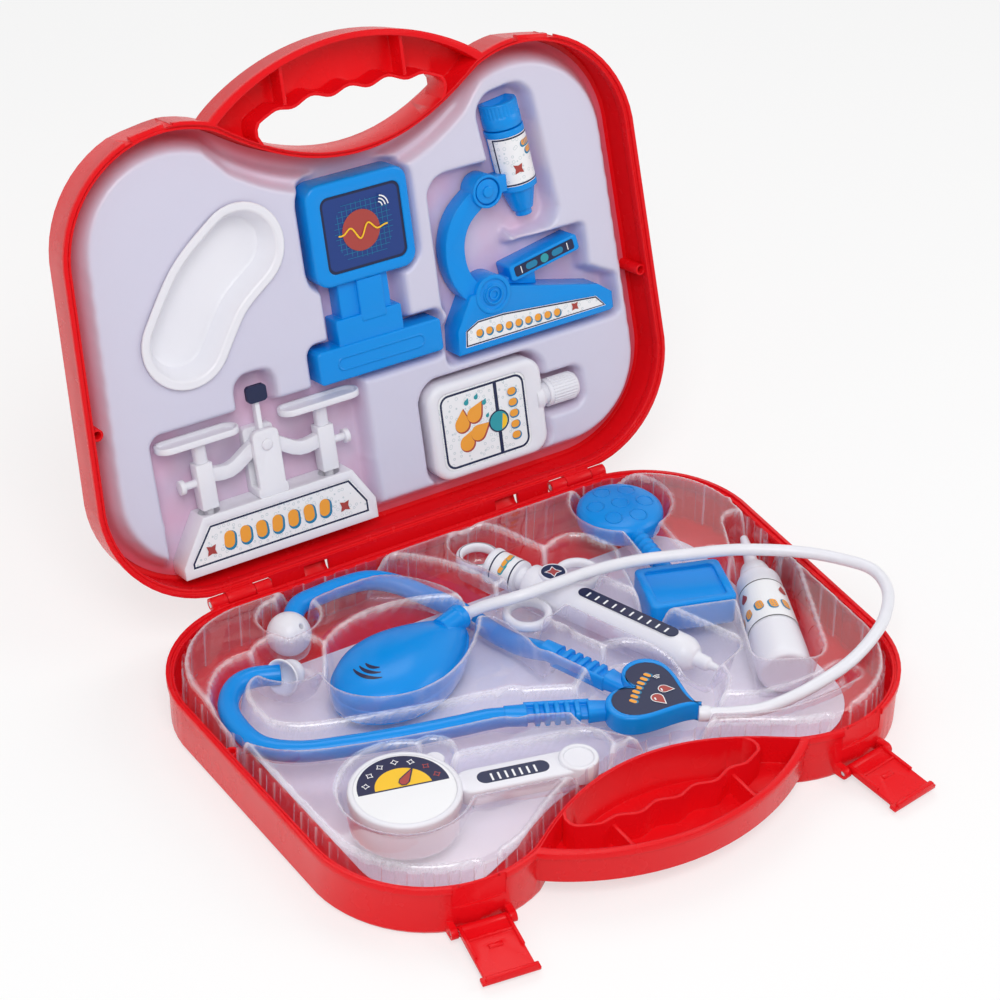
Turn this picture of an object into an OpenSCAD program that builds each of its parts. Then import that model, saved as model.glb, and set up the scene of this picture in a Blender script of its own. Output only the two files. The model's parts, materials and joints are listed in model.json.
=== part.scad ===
/* [Case] */
// overall width of the case across the back corners
case_w = 300; // [260:1:330]
// depth of the base shell, floor to rim
base_h = 25.5; // [22:0.5:32]
// depth of the lid shell, back to rim
lid_h = 22; // [20:0.5:28]
// wall thickness of both shells
wall = 1.8; // [1.4:0.1:2.6]
// how far the lid leans open from closed, degrees
lid_open = 104; // [95:1:115]
// thickness of each handle half
handle_h = 16; // [12:0.5:18]
// radius of the hinge pins
pin_r = 1.4; // [1.2:0.1:1.8]

/* [Latches] */
// width of each latch flap
latch_w = 22; // [18:1:26]
// thickness of the latch plate
latch_t = 1.8; // [1.4:0.1:2.4]
// opening swing of each latch, degrees
latch_swing = 95; // [90:1:97]

/* [Trays] */
// sheet thickness of both formed trays
sheet = 0.6; // [0.5:0.1:1]
// height of the clear tray plateau above the base rim
clear_rise = 4.5; // [2:0.5:5.5]
// depth of the lid tray plateau below the lid rim
lid_sink = 8.5; // [7.5:0.5:9.5]

/* [Toys] */
// outside radius of the syringe barrel
barrel_r = 9; // [8:0.1:9.6]
// radius of the stethoscope hose
hose_r = 2.8; // [2.2:0.1:3]
// radius of the headset tubes
arm_r = 4; // [3.5:0.1:4.4]
// radius of the examination lamp disc
lamp_r = 21; // [19:0.5:22]
// tilt of the balance beam to each side, degrees
beam_tilt = 4; // [2:0.5:4.5]

/* [Hidden] */
$fn = 40;

red = [0.89, 0.08, 0.12];
blue = [0.04, 0.56, 0.9];
white = [0.93, 0.94, 0.97];
navy = [0.18, 0.23, 0.42];
tray_col = [0.86, 0.83, 0.91];
clear_col = [0.9, 0.93, 0.96, 0.3];

// outline of the case, seen with the hinge axis along x and s away from it
half_w = case_w / 2;
back_gap = 3.6;
back_r = 53;
lobe_r = 55.8;
lobe_x = half_w - 5.35 - lobe_r;
lobe_s = 163.5;
lobe_end = 115;
dip_s = 189;
dip_half = lobe_x + lobe_r * cos(lobe_end);
dip_rise = lobe_s + lobe_r * sin(lobe_end) - dip_s;
notch_x = dip_half + 3.1;
notch_s = dip_s + dip_rise + 1;
grip_rise = 24;
band_h = 3.4;
boss_x = half_w - 6.6;
boss_r = 2.8;
band_t = 0.9;
rim_gap = 0.15;
clear_in = 5;
tray_in = 10.9;
tray_dip = 18;
floor_t = wall;
hole_half = dip_half - 20.3;
wave_half = hole_half - 6;
grip_in = notch_s + 0.5;

// hinge
knuckle_r = 3;
hinge_x = half_w - back_r - 5;
knuckle_w = 14;
side_knuckle_w = 8;
hinge_play = 0.05;
axial_play = 0.3;
rest_x = 52;
lip = 4.2;
ledge_w = 8;
lip_t = 2.4;
pin_len = knuckle_w + 2 * side_knuckle_w + 2 * axial_play;

// latch, in its own frame: r outward from the lobe wall
latch_a = 8.3;
latch_axis_r = 2.8;
latch_axis_z = 4.5;
latch_in = 1.2;
latch_top = base_h + 8.6;
latch_bore = 1.25;
latch_pin_r = 1.2;
latch_knuckle = 2.2;
lug_t = 3;
catch_w = 16;
catch_out = 3.2;
catch_lo = 2.4;
catch_hi = 6;

// tray levels
clear_top = base_h + clear_rise;
card_t = 0.5;
card_top = floor_t + card_t;
lid_floor = -lid_h + floor_t;
pocket_w = lid_floor + sheet;
tool_w = -6;

function arc(cx, cy, r, a0, a1, n) =
  [for (i = [0:n]) let (a = a0 + (a1 - a0) * i / n) [cx + r * cos(a), cy + r * sin(a)]];
function flip(p) = [for (i = [len(p) - 1:-1:0]) [-p[i][0], p[i][1]]];
function dip(x) = dip_s + dip_rise * pow(x / dip_half, 2);
function grip(x) = notch_s + grip_rise * pow(max(0, 1 - pow(x / notch_x, 2)), 0.89);
function body_half(i, j) = concat(
  arc(half_w - back_r, back_gap + back_r, back_r - i, -90, 0, 15),
  arc(lobe_x, lobe_s, lobe_r - i, 0, lobe_end, 20),
  [for (k = [1:9]) let (x = dip_half * (1 - k / 10)) [x, dip(x) - j]]);
function body_pts(i, j) = let (h = body_half(i, j)) concat(h, [[0, dip(0) - j]], flip(h));
function handle_pts(i) = concat(
  [for (k = [-18:18]) let (x = notch_x * sin(k * 5)) [x * (1 - i / notch_x), grip(x) - i]],
  [[notch_x - i, 196], [-notch_x + i, 196]]);
function hole_pts(e) = concat(
  [for (k = [-8:8]) let (x = (hole_half + e) * k / 8) [x, dip(x) - e]],
  [[hole_half + 2 + e, 205], [hole_half + 1.9 + e, 208 + e / 4], [hole_half + 0.5 + e, 210.4 + e / 2],
    [hole_half - 1.8, 211.6 + e]],
  [for (k = [20:-1:-20]) let (x = wave_half * k / 20)
    [x, grip_in + e - 3.4 * pow(abs(x) / wave_half, 4) + 1.3 * cos(x * 19)]],
  [[-hole_half + 1.8, 211.6 + e], [-hole_half - 0.5 - e, 210.4 + e / 2], [-hole_half - 1.9 - e, 208 + e / 4],
    [-hole_half - 2 - e, 205]]);
// narrow shelf at the foot of the wall inside the handle hole
function ledge_pts() = concat(
  [for (k = [-10:10]) let (x = (hole_half - 3) * k / 10) [x, dip(x) - 1]],
  [for (k = [10:-1:-10]) let (x = (hole_half - 3) * k / 10) [x, dip(x) + ledge_w * sqrt(1.01 - pow(k / 10, 2))]]);

// smooth route through hand-set points
function cr(a, b, c, d, t) = 0.5 * ((2 * b) + (c - a) * t + (2 * a - 5 * b + 4 * c - d) * t * t
  + (3 * b - a - 3 * c + d) * t * t * t);
function route(p, n) = let (m = len(p) - 1) concat([for (i = [0:m - 1], k = [0:n - 1])
  cr(p[max(i - 1, 0)], p[i], p[i + 1], p[min(i + 2, m)], k / n)], [p[m]]);
function unit(v) = v / norm(v);
function tangent(p, i) = unit(p[min(i + 1, len(p) - 1)] - p[max(i - 1, 0)]);
function ring(c, t, r, n) = let (s = unit(cross(t, [0, 0, 1])), u = cross(s, t))
  [for (k = [0:n - 1]) c + r * (cos(360 * k / n) * s + sin(360 * k / n) * u)];
function ribbon(p, h) = concat(
  [for (i = [0:len(p) - 1]) let (t = tangent(p, i)) [p[i][0] - h * t[1], p[i][1] + h * t[0]]],
  [for (i = [len(p) - 1:-1:0]) let (t = tangent(p, i)) [p[i][0] + h * t[1], p[i][1] - h * t[0]]]);
module sweep(p, r, n) {
  m = len(p);
  polyhedron([for (i = [0:m - 1]) each ring(p[i], tangent(p, i), r, n)], concat(
    [[for (k = [n - 1:-1:0]) k]],
    [for (i = [0:m - 2], k = [0:n - 1]) let (a = i * n, j = (k + 1) % n)
      [a + j, a + n + j, a + n + k, a + k]],
    [[for (k = [0:n - 1]) (m - 1) * n + k]]));
}
module slab(z0, z1) translate([0, 0, z0]) linear_extrude(z1 - z0) children();
module bar(x, y, z0, z1) translate([-x / 2, -y / 2, z0]) cube([x, y, z1 - z0]);
function rrect(x, y, r) = concat(arc(x / 2 - r, y / 2 - r, r, 0, 90, 6),
  arc(r - x / 2, y / 2 - r, r, 90, 180, 6), arc(r - x / 2, r - y / 2, r, 180, 270, 6),
  arc(x / 2 - r, r - y / 2, r, 270, 360, 6));
module rounded(x, y, r) polygon(rrect(x, y, r));

// the origin is the middle of the underside, home_y in front of the hinge axis
home_y = 110;
module home() translate([0, home_y, 0]) children();
// lid frame: x, distance from the hinge, height above the rim towards the inside
module in_lid() translate([0, 0, base_h]) rotate([180 - lid_open, 0, 0]) children();
// base frame: same outline, rim plane at z = 0, mirrored to the front
module in_base() translate([0, 0, base_h]) mirror([0, 1, 0]) children();
module at_latch(side) translate([side * lobe_x, -lobe_s, 0]) rotate([0, 0, side * latch_a])
  translate([0, -lobe_r, 0]) children();

module shell(depth) {
  low = 2;
  k = 1 - 1.5 / half_w;
  difference() {
    union() {
      slab(-depth + low, -rim_gap) polygon(body_pts(0, 0));
      translate([0, 110, -depth + low]) mirror([0, 0, 1]) linear_extrude(low, scale = k)
        translate([0, -110]) polygon(body_pts(0, 0));
      slab(-handle_h, -rim_gap) polygon(handle_pts(0));
      slab(-band_h, -rim_gap) polygon(body_pts(-band_t, 0));
      slab(-band_h, -rim_gap) polygon(handle_pts(-band_t));
    }
    slab(-depth + floor_t, 1) polygon(body_pts(wall, wall));
    slab(-1.6, 1) polygon(body_pts(wall - 1, wall - 1));
    slab(-handle_h + floor_t, 1) difference() {
      polygon(handle_pts(wall));
      polygon(body_pts(0, 0));
      polygon(hole_pts(1.4));
    }
    slab(-depth - 1, 1) polygon(hole_pts(0));
  }
  slab(-handle_h + 1, -4) intersection() {
    difference() {
      union() {
        translate([-31, 200]) square([1.6, 40]);
        translate([29.4, 200]) square([1.6, 40]);
      }
      polygon(hole_pts(0.7));
    }
    polygon(handle_pts(1));
  }
}
module knuckle(x, w) translate([x - w / 2, 0, 0]) rotate([0, 90, 0]) cylinder(r = knuckle_r, h = w);
module knuckle_web(x, w) translate([x - w / 2, 0, -knuckle_r]) cube([w, back_gap + 0.6, knuckle_r - rim_gap]);
module bore(x, w, r) translate([x - w / 2 - 0.5, 0, 0]) rotate([0, 90, 0]) cylinder(r = r, h = w + 1);
module clear_cut(x, w) translate([x - w / 2 - axial_play, 0, 0]) rotate([0, 90, 0])
  cylinder(r = knuckle_r + 0.5, h = w + 2 * axial_play);
side_off = (knuckle_w + side_knuckle_w) / 2 + axial_play;

module base_shell() home() color(red) {
  difference() {
    union() {
      in_base() difference() {
        shell(base_h);
        for (s = [-1, 1]) clear_cut(s * hinge_x, knuckle_w);
      }
      in_base() slab(-base_h + 2.2, -base_h + 4) polygon(ledge_pts());
      for (s = [-1, 1], q = [-1, 1]) in_base() {
        knuckle(s * hinge_x + q * side_off, side_knuckle_w);
        knuckle_web(s * hinge_x + q * side_off, side_knuckle_w);
      }
      for (s = [-1, 1]) at_latch(s) for (q = [-1, 1])
        translate([q * (latch_w / 2 + 0.3 + lug_t / 2) - lug_t / 2, -latch_axis_r, 0]) {
          translate([0, 0, latch_axis_z]) rotate([0, 90, 0]) cylinder(r = 2.6, h = lug_t);
          translate([0, 0, latch_axis_z - 2.6]) cube([lug_t, latch_axis_r + 2.6, 5.2]);
        }
    }
    for (s = [-1, 1], q = [-1, 1]) in_base() bore(s * hinge_x + q * side_off, side_knuckle_w, pin_r);
    for (s = [-1, 1]) at_latch(s) {
      translate([-latch_w / 2 - lug_t - 1, -latch_axis_r, latch_axis_z]) rotate([0, 90, 0])
        cylinder(r = latch_pin_r, h = latch_w + 2 * lug_t + 2);
      bar(latch_w + 1.2, 3, 14, base_h + 1);
    }
  }
  // back rests that the open lid leans on
  for (s = [-1, 1]) translate([s * rest_x - 6, 0, base_h]) rotate([90, 0, 90]) linear_extrude(12)
    polygon([[-back_gap - 0.6, -17], [-back_gap - 0.6, -6], [2.6, -2.2],
      for (w = [-4.6, -13]) [(back_gap - 0.05) * cos(180 - lid_open) - w * sin(180 - lid_open),
        (back_gap - 0.05) * sin(180 - lid_open) + w * cos(180 - lid_open)], [12.5, -4]]);
  // locating bosses beside the tray
  for (s = [-1, 1]) translate([s * boss_x, -93, 1]) difference() {
    cylinder(r = boss_r, h = base_h - 4.4);
    translate([0, 0, base_h - 12]) cylinder(r = 1.8, h = 10);
  }
}
module lid_shell() home() color(red) in_lid() {
  difference() {
    union() {
      difference() {
        shell(lid_h);
        for (s = [-1, 1], q = [-1, 1]) clear_cut(s * hinge_x + q * side_off, side_knuckle_w);
      }
      for (s = [-1, 1]) {
        knuckle(s * hinge_x, knuckle_w);
        knuckle_web(s * hinge_x, knuckle_w);
      }
    }
    for (s = [-1, 1]) bore(s * hinge_x, knuckle_w, pin_r + hinge_play);
    for (s = [-1, 1]) translate([s * lobe_x, lobe_s, 0]) rotate([0, 0, -s * latch_a])
      translate([0, lobe_r, 0]) bar(latch_w + 1.2, 3, -lid_h, 1);
  }
  // lips that close the slit along the hinge, clear of the knuckles and the back rests
  for (x = [[-rest_x + 6.5, rest_x - 6.5], [rest_x + 6.5, hinge_x - 16.5], [16.5 - hinge_x, -rest_x - 6.5]])
    translate([x[0], -lip, -lip_t]) cube([x[1] - x[0], lip + back_gap + 0.6, lip_t - rim_gap]);
  for (s = [-1, 1]) {
    translate([s * lobe_x, lobe_s, 0]) rotate([0, 0, -s * latch_a]) translate([0, lobe_r - 3, 0])
      translate([-catch_w / 2, 0, -catch_hi]) cube([catch_w, catch_out, catch_hi - catch_lo]);
    translate([s * boss_x, 93, lid_floor - 0.5]) difference() {
      cylinder(r = boss_r, h = 17);
      translate([0, 0, 10]) cylinder(r = 1.8, h = 10);
    }
  }
}
module hinge_pins() home() color([0.75, 0.76, 0.78]) for (s = [-1, 1])
  translate([s * hinge_x - pin_len / 2, 0, base_h]) rotate([0, 90, 0]) cylinder(r = pin_r, h = pin_len);
module latch_pins() home() color([0.75, 0.76, 0.78]) for (s = [-1, 1]) at_latch(s)
  translate([-latch_w / 2 - lug_t, -latch_axis_r, latch_axis_z]) rotate([0, 90, 0])
    cylinder(r = latch_pin_r, h = latch_w + 2 * lug_t);

// drawn closed, then laid open about the latch axis
module latch(side) color(red) at_latch(side)
  translate([0, -latch_axis_r, latch_axis_z]) rotate([latch_swing, 0, 0]) difference() {
    union() {
      translate([-latch_w / 2, 0, 0]) rotate([0, 90, 0]) cylinder(r = latch_knuckle, h = latch_w);
      translate([-latch_w / 2, -latch_in + latch_axis_r - 3, 0]) {
        lz = latch_top - latch_axis_z;
        translate([0, 1.2, 0]) cube([latch_w, latch_t, lz]);
        for (x = [0, latch_w - 1.4]) translate([x, 1.2, 0]) cube([1.4, 3.2, 17]);
        translate([0, 1.2, lz - 1.8]) cube([latch_w, 3.9, 1.8]);
        translate([0, 1.2, 6.5]) cube([latch_w, 2.6, 1.4]);
        for (x = [-1.6, latch_w - 0.4]) translate([x, 1.2, lz - 3.4]) cube([2, 1.8, 3.4]);
        translate([latch_w / 2 - 3, 1.2 + latch_t - 0.4, 12]) cube([6, 0.9, 2]);
      }
    }
    translate([-latch_w / 2 - 1, 0, 0]) rotate([0, 90, 0]) cylinder(r = latch_bore, h = latch_w + 2);
  }
module left_latch() home() latch(-1);
module right_latch() home() latch(1);

module floor_card() home() color([0.95, 0.94, 0.95]) slab(floor_t, card_top) mirror([0, 1, 0])
  difference() {
    polygon(body_pts(13, 9));
    polygon([[-200, -5], [200, -5], [200, 86], [130, 83], [-79, 36], [-105, 34], [-118, 44], [-200, 60]]);
  }

// toys keep their share of the room across the case
share = half_w / 150;
function across(p) = [for (q = p) [q[0] * share, q[1], q[2]]];
function lifted(p) = [for (q = across(p))
  [q[0], q[1], q[2] + (clear_top - 30) * max(0, min(1, (q[2] - 24) / 10))]];
function across2(p) = [for (q = p) [q[0] * share, q[1]]];

// places of the toys lying in the base: x, y and heading of each one's own axis
wider = half_w - 150;
syr_at = [20 + 0.45 * wider, -25.3];
syr_dir = -69.3;
syr_z = 20;
ring_z = 16.5;
lamp_at = [96 + 0.73 * wider, -32];
lamp_dir = -98;
lamp_z = 17;
grip_at = [87 + 0.73 * wider, -99];
grip_w = 41 + 0.5 * wider;
grip_dir = -108;
grip_z = 12;
spray_at = [141 * share, -72];
spray_dir = -116;
spray_r = 12.5;
spray_z = 16;
gauge_dir = -14;
gauge_x = -96.5 * share;
gauge_clear = 33.6482;
gauge_at = [gauge_x, gauge_clear - dip(gauge_x + 76 * cos(gauge_dir))];
gauge_z = 10;
chest_at = [-48 * share, -74];
chest_dir = 16;
chest_z = 9;
joint_at = [27 * share, -157.5];
joint_dir = 37;
rib_w = 9;
left_rib = across2([[8, -153], [-29, -135]]);
right_rib = across2([[24, -142], [10, -105]]);
joint_z = 19;
ball_at = [-83 * share, -30, 19];
ball_r = 9.2;
bell_at = [-97 * share, -58, 21];
arm_floor = 17;
left_arm = across([[-29, -135, 22], [-40, -131, 22], [-54, -128, 22],
  [-78, -122, 22], [-101, -115, 22], [-119, -108, 22], [-131, -97, 22], [-134, -82, 22],
  [-132, -67, 22], [-124, -56, 22], [-114, -53, 22], [-101.5, -57, 21.7]]);
right_arm = across([[10, -105, 21], [8, -95, 16.9],
  [7, -84, 12.2], [3, -72, 11.5], [0, -57, 11], [-4, -43, 11.5], [-12, -31, 14], [-22, -21, 18],
  [-33, -15.5, 21], [-46, -14.5, 22], [-60, -15, 22], [-71, -17, 22], [-79, -24.5, 20.5]]);
hose_pts = lifted([[-9.5, -63, 23], [-2, -68, 28], [12, -76, 33.5], [32, -78, 35], [52, -80, 36], [72, -84, 36],
  [93, -93, 37], [115, -102, 37], [138, -118, 37], [152, -134, 37], [158, -147, 37],
  [154, -162, 36.5], [141, -176, 36], [126, -185, 35], [110, -191, 33.5], [94, -193, 31],
  [79, -192.5, 28], [64, -190, 25.5], [52, -184, 24], [42.5, -178, 23.5]]);
function heart(k) = [for (i = [0:35]) let (a = i * 10)
  k * [16 * pow(sin(a), 3), 13 * cos(a) - 5 * cos(2 * a) - 2 * cos(3 * a) - cos(4 * a)] / 16];
function mouse(g) = [for (i = [0:29]) let (a = i * 12, c = cos(a))
  [(39 + g) * c, (24.5 - 6 * c - 4.5 * c * c + g) * sin(a)]];
module at_xy(p, a) translate([p[0], p[1], 0]) rotate([0, 0, a]) children();
module hole_up(z) slab(z, clear_top + 5) children();
module base_pockets(g, d) {
  at_xy(syr_at, syr_dir) {
    hole_up(syr_z - barrel_r - 0.05 - d) translate([82, 0]) rounded(112 + 2 * g, 2 * barrel_r + 3 + 2 * g, 4);
    hole_up(ring_z - d) translate([44, 0]) rounded(28 + 2 * g, 66 + 2 * g, 10);
    hole_up(ring_z - 5.5 - d) translate([14, 0]) rounded(50 + 2 * g, 24 + 2 * g, 11.5);
  }
  at_xy(lamp_at, 0) hole_up(lamp_z - d) circle(r = lamp_r + 0.9 + g);
  at_xy(lamp_at, lamp_dir) hole_up(lamp_z - 2 - d) translate([34, 0]) rounded(50 + 2 * g, 13 + 2 * g, 4);
  at_xy(grip_at, grip_dir) hole_up(grip_z - d) rounded(35 + 2 * g, grip_w + 4 + 2 * g, 4);
  at_xy(spray_at, spray_dir) {
    hole_up(spray_z - spray_r - 0.05 - d) translate([71, 0]) rounded(74 + 2 * g, 2 * spray_r + 2 + 2 * g, 5);
    hole_up(spray_z - 7.6 - d) translate([20, 0]) rounded(42 + 2 * g, 18 + 2 * g, 5);
  }
  at_xy(gauge_at, gauge_dir) {
    hole_up(gauge_z - d) circle(r = 25.5 + g);
    hole_up(gauge_z + 6 - d) translate([48, 0]) rounded(80 + 2 * g, 21 + 2 * g, 8);
    hole_up(gauge_z + 6 - d) translate([18, 18]) circle(r = 6 + g);
  }
  at_xy(chest_at, chest_dir) hole_up(chest_z - d) polygon(mouse(1.5 + g));
  hole_up(arm_floor - d) polygon(ribbon(route(left_arm, 2), 5.4 + g));
  hole_up(arm_floor - d) polygon(ribbon(left_rib, rib_w / 2 + 1 + g));
  hole_up(arm_floor - d) polygon(ribbon(right_rib, rib_w / 2 + 1 + g));
  hole_up(6.6 - d) polygon(ribbon(route(right_arm, 2), 5.4 + g));
  hole_up(19.6 - d) polygon(ribbon(across2([[-14, -62], [-2, -70], [14, -77]]), hose_r + 2.4 + g));
  for (q = [left_arm[0], right_arm[0]]) hole_up(arm_floor - 1.5 - d) translate([q[0], q[1]]) circle(r = 7 + g);
  hole_up(20 - d) polygon(ribbon(route([for (i = [14:19]) hose_pts[i]], 2), hose_r + 1.4 + g));
  hole_up(ball_at[2] - ball_r - 0.05 - d) translate([ball_at[0], ball_at[1]]) circle(r = ball_r + 2.2 + g);
  hole_up(13 - d) translate([bell_at[0], bell_at[1] + 1]) circle(r = 14.5 + g);
  at_xy(joint_at, joint_dir) hole_up(joint_z - d) translate([-2, 0]) rounded(58 + 2 * g, 56 + 2 * g, 14);
}
module tray_2d(i) mirror([0, 1, 0]) difference() {
  polygon(body_pts(i, i));
  for (s = [-1, 1]) translate([s * boss_x, 93]) circle(r = boss_r + 1.2 + i - clear_in);
}
module clear_tray() home() color(clear_col) difference() {
  slab(card_top, clear_top) tray_2d(clear_in);
  intersection() {
    base_pockets(0, 0);
    slab(0, 50) tray_2d(clear_in + sheet);
  }
  difference() {
    slab(-1, clear_top - sheet) tray_2d(clear_in + sheet);
    base_pockets(sheet, sheet);
  }
}

// toys in the lid, all drawn in the lid frame
bean_path = route(across2([[-61, 156], [-79, 142], [-94, 121]]), 5);
function capped(p, h) = let (m = len(p) - 1, t0 = tangent(p, 0), t1 = tangent(p, m),
  a0 = atan2(t0[1], t0[0]), a1 = atan2(t1[1], t1[0])) concat(
  [for (i = [1:m - 1]) let (t = tangent(p, i)) [p[i][0] - h * t[1], p[i][1] + h * t[0]]],
  arc(p[m][0], p[m][1], h, a1 + 90, a1 - 90, 12),
  [for (i = [m - 1:-1:1]) let (t = tangent(p, i)) [p[i][0] + h * t[1], p[i][1] - h * t[0]]],
  arc(p[0][0], p[0][1], h, a0 - 90, a0 - 270, 12));
module bean(r) polygon(capped(bean_path, r));
module scope_2d(g) {
  polygon([[37 - g, 74.5 - g], [38 - g, 92], [46 - g, 108], [46 - g, 121 + g], [115 + g, 121 + g],
    [115 + g, 100 + g], [130 + g, 92 + g], [130 + g, 74.5 - g]]);
  translate([57, 129]) rounded(38 + 2 * g, 66 + 2 * g, 8);
  translate([85.5, 160]) rotate(7.5) rounded(26 + 2 * g, 70 + 2 * g, 8);
}
module lid_pockets(g, d) {
  up(pocket_w - d) bean(17.2 + g);
  at_monitor() {
    up(pocket_w - d) translate([-1, 151]) rounded(54 + 2 * g, 50 + 2 * g, 8);
    up(pocket_w - d) translate([-3, 113]) rounded(38 + 2 * g, 40 + 2 * g, 3);
    up(pocket_w - d) translate([0, 90.5]) rounded(68 + 2 * g, 19 + 2 * g, 3);
  }
  at_scope() up(pocket_w - d) scope_2d(g);
  up(pocket_w - d) translate([bal_x, 26]) rounded(104 + 2 * g, 31 + 2 * g, 4);
  up(pocket_w - d) translate([bal_x, 59.5]) rounded(105 + 2 * g, 41 + 2 * g, 3);
  up(pocket_w - d) translate([bal_x, 84]) rounded(16 + 2 * g, 24 + 2 * g, 4);
  up(pocket_w - d) translate([gel_x, 41.2]) rounded(65 + 2 * g, 50.5 + 2 * g, 9);
  up(pocket_w - d) translate([gel_x + 40.5, 43.3]) rounded(26 + 2 * g, 17 + 2 * g, 4);
}
module up(z) slab(z, 3) children();
scope_shift = 0.4 * wider;
mon_shift = 0.1 * wider;
module at_scope() translate([scope_shift, 0, 0]) children();
module at_monitor() translate([mon_shift, 0, 0]) children();
module lid_tray() home() color(tray_col) in_lid() difference() {
  union() {
    slab(lid_floor, -lid_sink) polygon(body_pts(tray_in, tray_dip));
    slab(lid_floor, lid_floor + 6) polygon(body_pts(tray_in - 3.2, tray_dip - 6));
    slab(lid_floor, lid_floor + sheet) polygon(body_pts(4, 4));
  }
  lid_pockets(0, 0);
  for (s = [-1, 1]) translate([s * boss_x, 93, -lid_h]) cylinder(r = boss_r + 0.3, h = lid_h);
  difference() {
    union() {
      slab(-lid_h, -lid_sink - sheet) polygon(body_pts(tray_in + sheet, tray_dip + sheet));
      slab(-lid_h, lid_floor + 6 - sheet) polygon(body_pts(tray_in - 3.2 + sheet, tray_dip - 6 + sheet));
    }
    lid_pockets(sheet, sheet);
  }
}
module kidney_dish() home() color(white) in_lid() difference() {
  union() {
    slab(-lid_sink, -lid_sink + 1.2) bean(21.4);
    slab(pocket_w, -lid_sink + 1) bean(16.6);
    slab(-lid_sink, -lid_sink + 2.3) difference() {
      bean(21.4);
      bean(20.2);
    }
  }
  slab(pocket_w + 1.2, 0) bean(15.4);
}
module monitor_head() home() color(blue) in_lid() at_monitor() difference() {
  slab(pocket_w, tool_w) translate([-1, 151]) rounded(52, 48, 7);
  slab(tool_w - 1.6, 1) translate([0.2, 150.4]) rounded(41, 36, 4);
  slab(pocket_w - 1, tool_w - 8) translate([-3, 124]) square([17, 10], center = true);
}
module monitor_screen() home() color(navy) in_lid() at_monitor() slab(tool_w - 1.6, tool_w - 0.8)
  translate([0.2, 150.4]) rounded(41, 36, 4);
module monitor_stand() home() color(blue) in_lid() at_monitor() {
  slab(pocket_w, tool_w - 3) translate([-3, 118]) rounded(26, 18, 1);
  slab(pocket_w, tool_w - 1.5) translate([-3, 105]) rounded(34, 14, 1);
  slab(pocket_w, tool_w - 8.4) translate([-3, 127]) square([16.6, 3.9], center = true);
  difference() {
    slab(pocket_w, tool_w) translate([0, 90.5]) rounded(65, 16, 2);
    slab(tool_w - 0.9, 1) translate([0, 90.5]) rounded(46, 6.5, 3.2);
  }
}

// microscope lying on its side
tube_a = 7.5;
tube_w = -15.4;
module along_tube() translate([85.2, 162, tube_w]) rotate([0, 0, tube_a]) rotate([90, 0, 0]) children();
module floor_cut() translate([-300, -300, -40]) cube([600, 600, 40 + pocket_w]);
arm_path = route([[60, 100], [51, 107], [46.5, 118], [47, 131], [53, 142], [66, 151]], 4);
module microscope_frame() home() color(blue) in_lid() at_scope() {
  difference() {
    union() {
      slab(pocket_w, tool_w) polygon([[40, 77], [41, 89], [50, 104], [70, 104], [120, 91.5], [127, 86],
        [127, 78], [125, 77]]);
      slab(pocket_w + 1.5, tool_w - 2.6) polygon(ribbon(arm_path, 5));
      translate([62, 102, pocket_w]) cylinder(r = 9.5, h = tool_w - pocket_w + 0.4);
      translate([66, 151, pocket_w + 1.5]) cylinder(r = 8, h = 10);
      slab(pocket_w + 1.5, tool_w - 3) translate([72, 152]) square([12, 8], center = true);
    }
    translate([62, 102, tool_w - 0.2]) difference() {
      cylinder(r = 7.4, h = 2);
      translate([0, 0, -1]) cylinder(r = 5.4, h = 4);
    }
    translate([66, 151, pocket_w + 1]) cylinder(r = 2.2, h = 20);
    along_tube() translate([0, 0, -30]) cylinder(r = 9.6, h = 60);
    slab(tool_w - 0.5, 1) label_tri(0);
  }
}
module label_tri(g) polygon([[44 + g, 80 + g], [45 + g, 88], [52 + g, 91.5 - g], [66, 91.5 - g],
  [118 - g, 86 - g], [123 - g, 80 + g]]);
module microscope_label() home() color(white) in_lid() at_scope()
  slab(tool_w - 0.5, tool_w - 0.1) label_tri(0);
module microscope_tube() home() color(blue) in_lid() at_scope() difference() {
  along_tube() {
    translate([0, 0, -15]) cylinder(r = 9.6, h = 30);
    translate([0, 0, 15]) cylinder(r1 = 8.4, r2 = 5.2, h = 11);
    translate([0, 0, 26]) cylinder(r = 4, h = 3);
    translate([0, 0, -18]) cylinder(r = 6.5, h = 3);
  }
  along_tube() translate([0, 0, -12]) difference() {
    cylinder(r = 12, h = 24);
    translate([0, 0, -1]) cylinder(r = 9.3, h = 26);
  }
  floor_cut();
}
module microscope_tube_label() home() color(white) in_lid() at_scope() difference() {
  along_tube() translate([0, 0, -12]) difference() {
    cylinder(r = 9.6, h = 24);
    translate([0, 0, -1]) cylinder(r = 9.3, h = 26);
  }
  translate([0, 0, -40]) translate([0, 0, 40 + tube_w]) mirror([0, 0, 1]) translate([-300, -300, 0])
    cube([600, 600, 40]);
}
module microscope_eyepiece() home() color(blue) in_lid() at_scope() difference() {
  along_tube() {
    translate([0, 0, -28]) difference() {
      cylinder(r = 9.2, h = 10);
      translate([0, 0, -1]) cylinder(r = 6, h = 2.5);
      for (a = [0:20:340]) rotate([0, 0, a]) translate([9.5, 0, -1]) cylinder(r = 0.7, h = 12, $fn = 16);
    }
  }
  floor_cut();
}
module microscope_knob() home() color(blue) in_lid() at_scope() translate([66, 151, 0]) {
  translate([0, 0, pocket_w + 1.5]) cylinder(r = 2.2 - hinge_play, h = 10);
  translate([0, 0, pocket_w + 11.6]) cylinder(r = 5.8, h = 1.2);
  translate([0, 0, pocket_w + 11.5]) cylinder(r = 2.6, h = 2.6);
}
module at_stage() translate([92.4, 111.8, 0]) rotate([0, 0, 10]) children();
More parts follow.
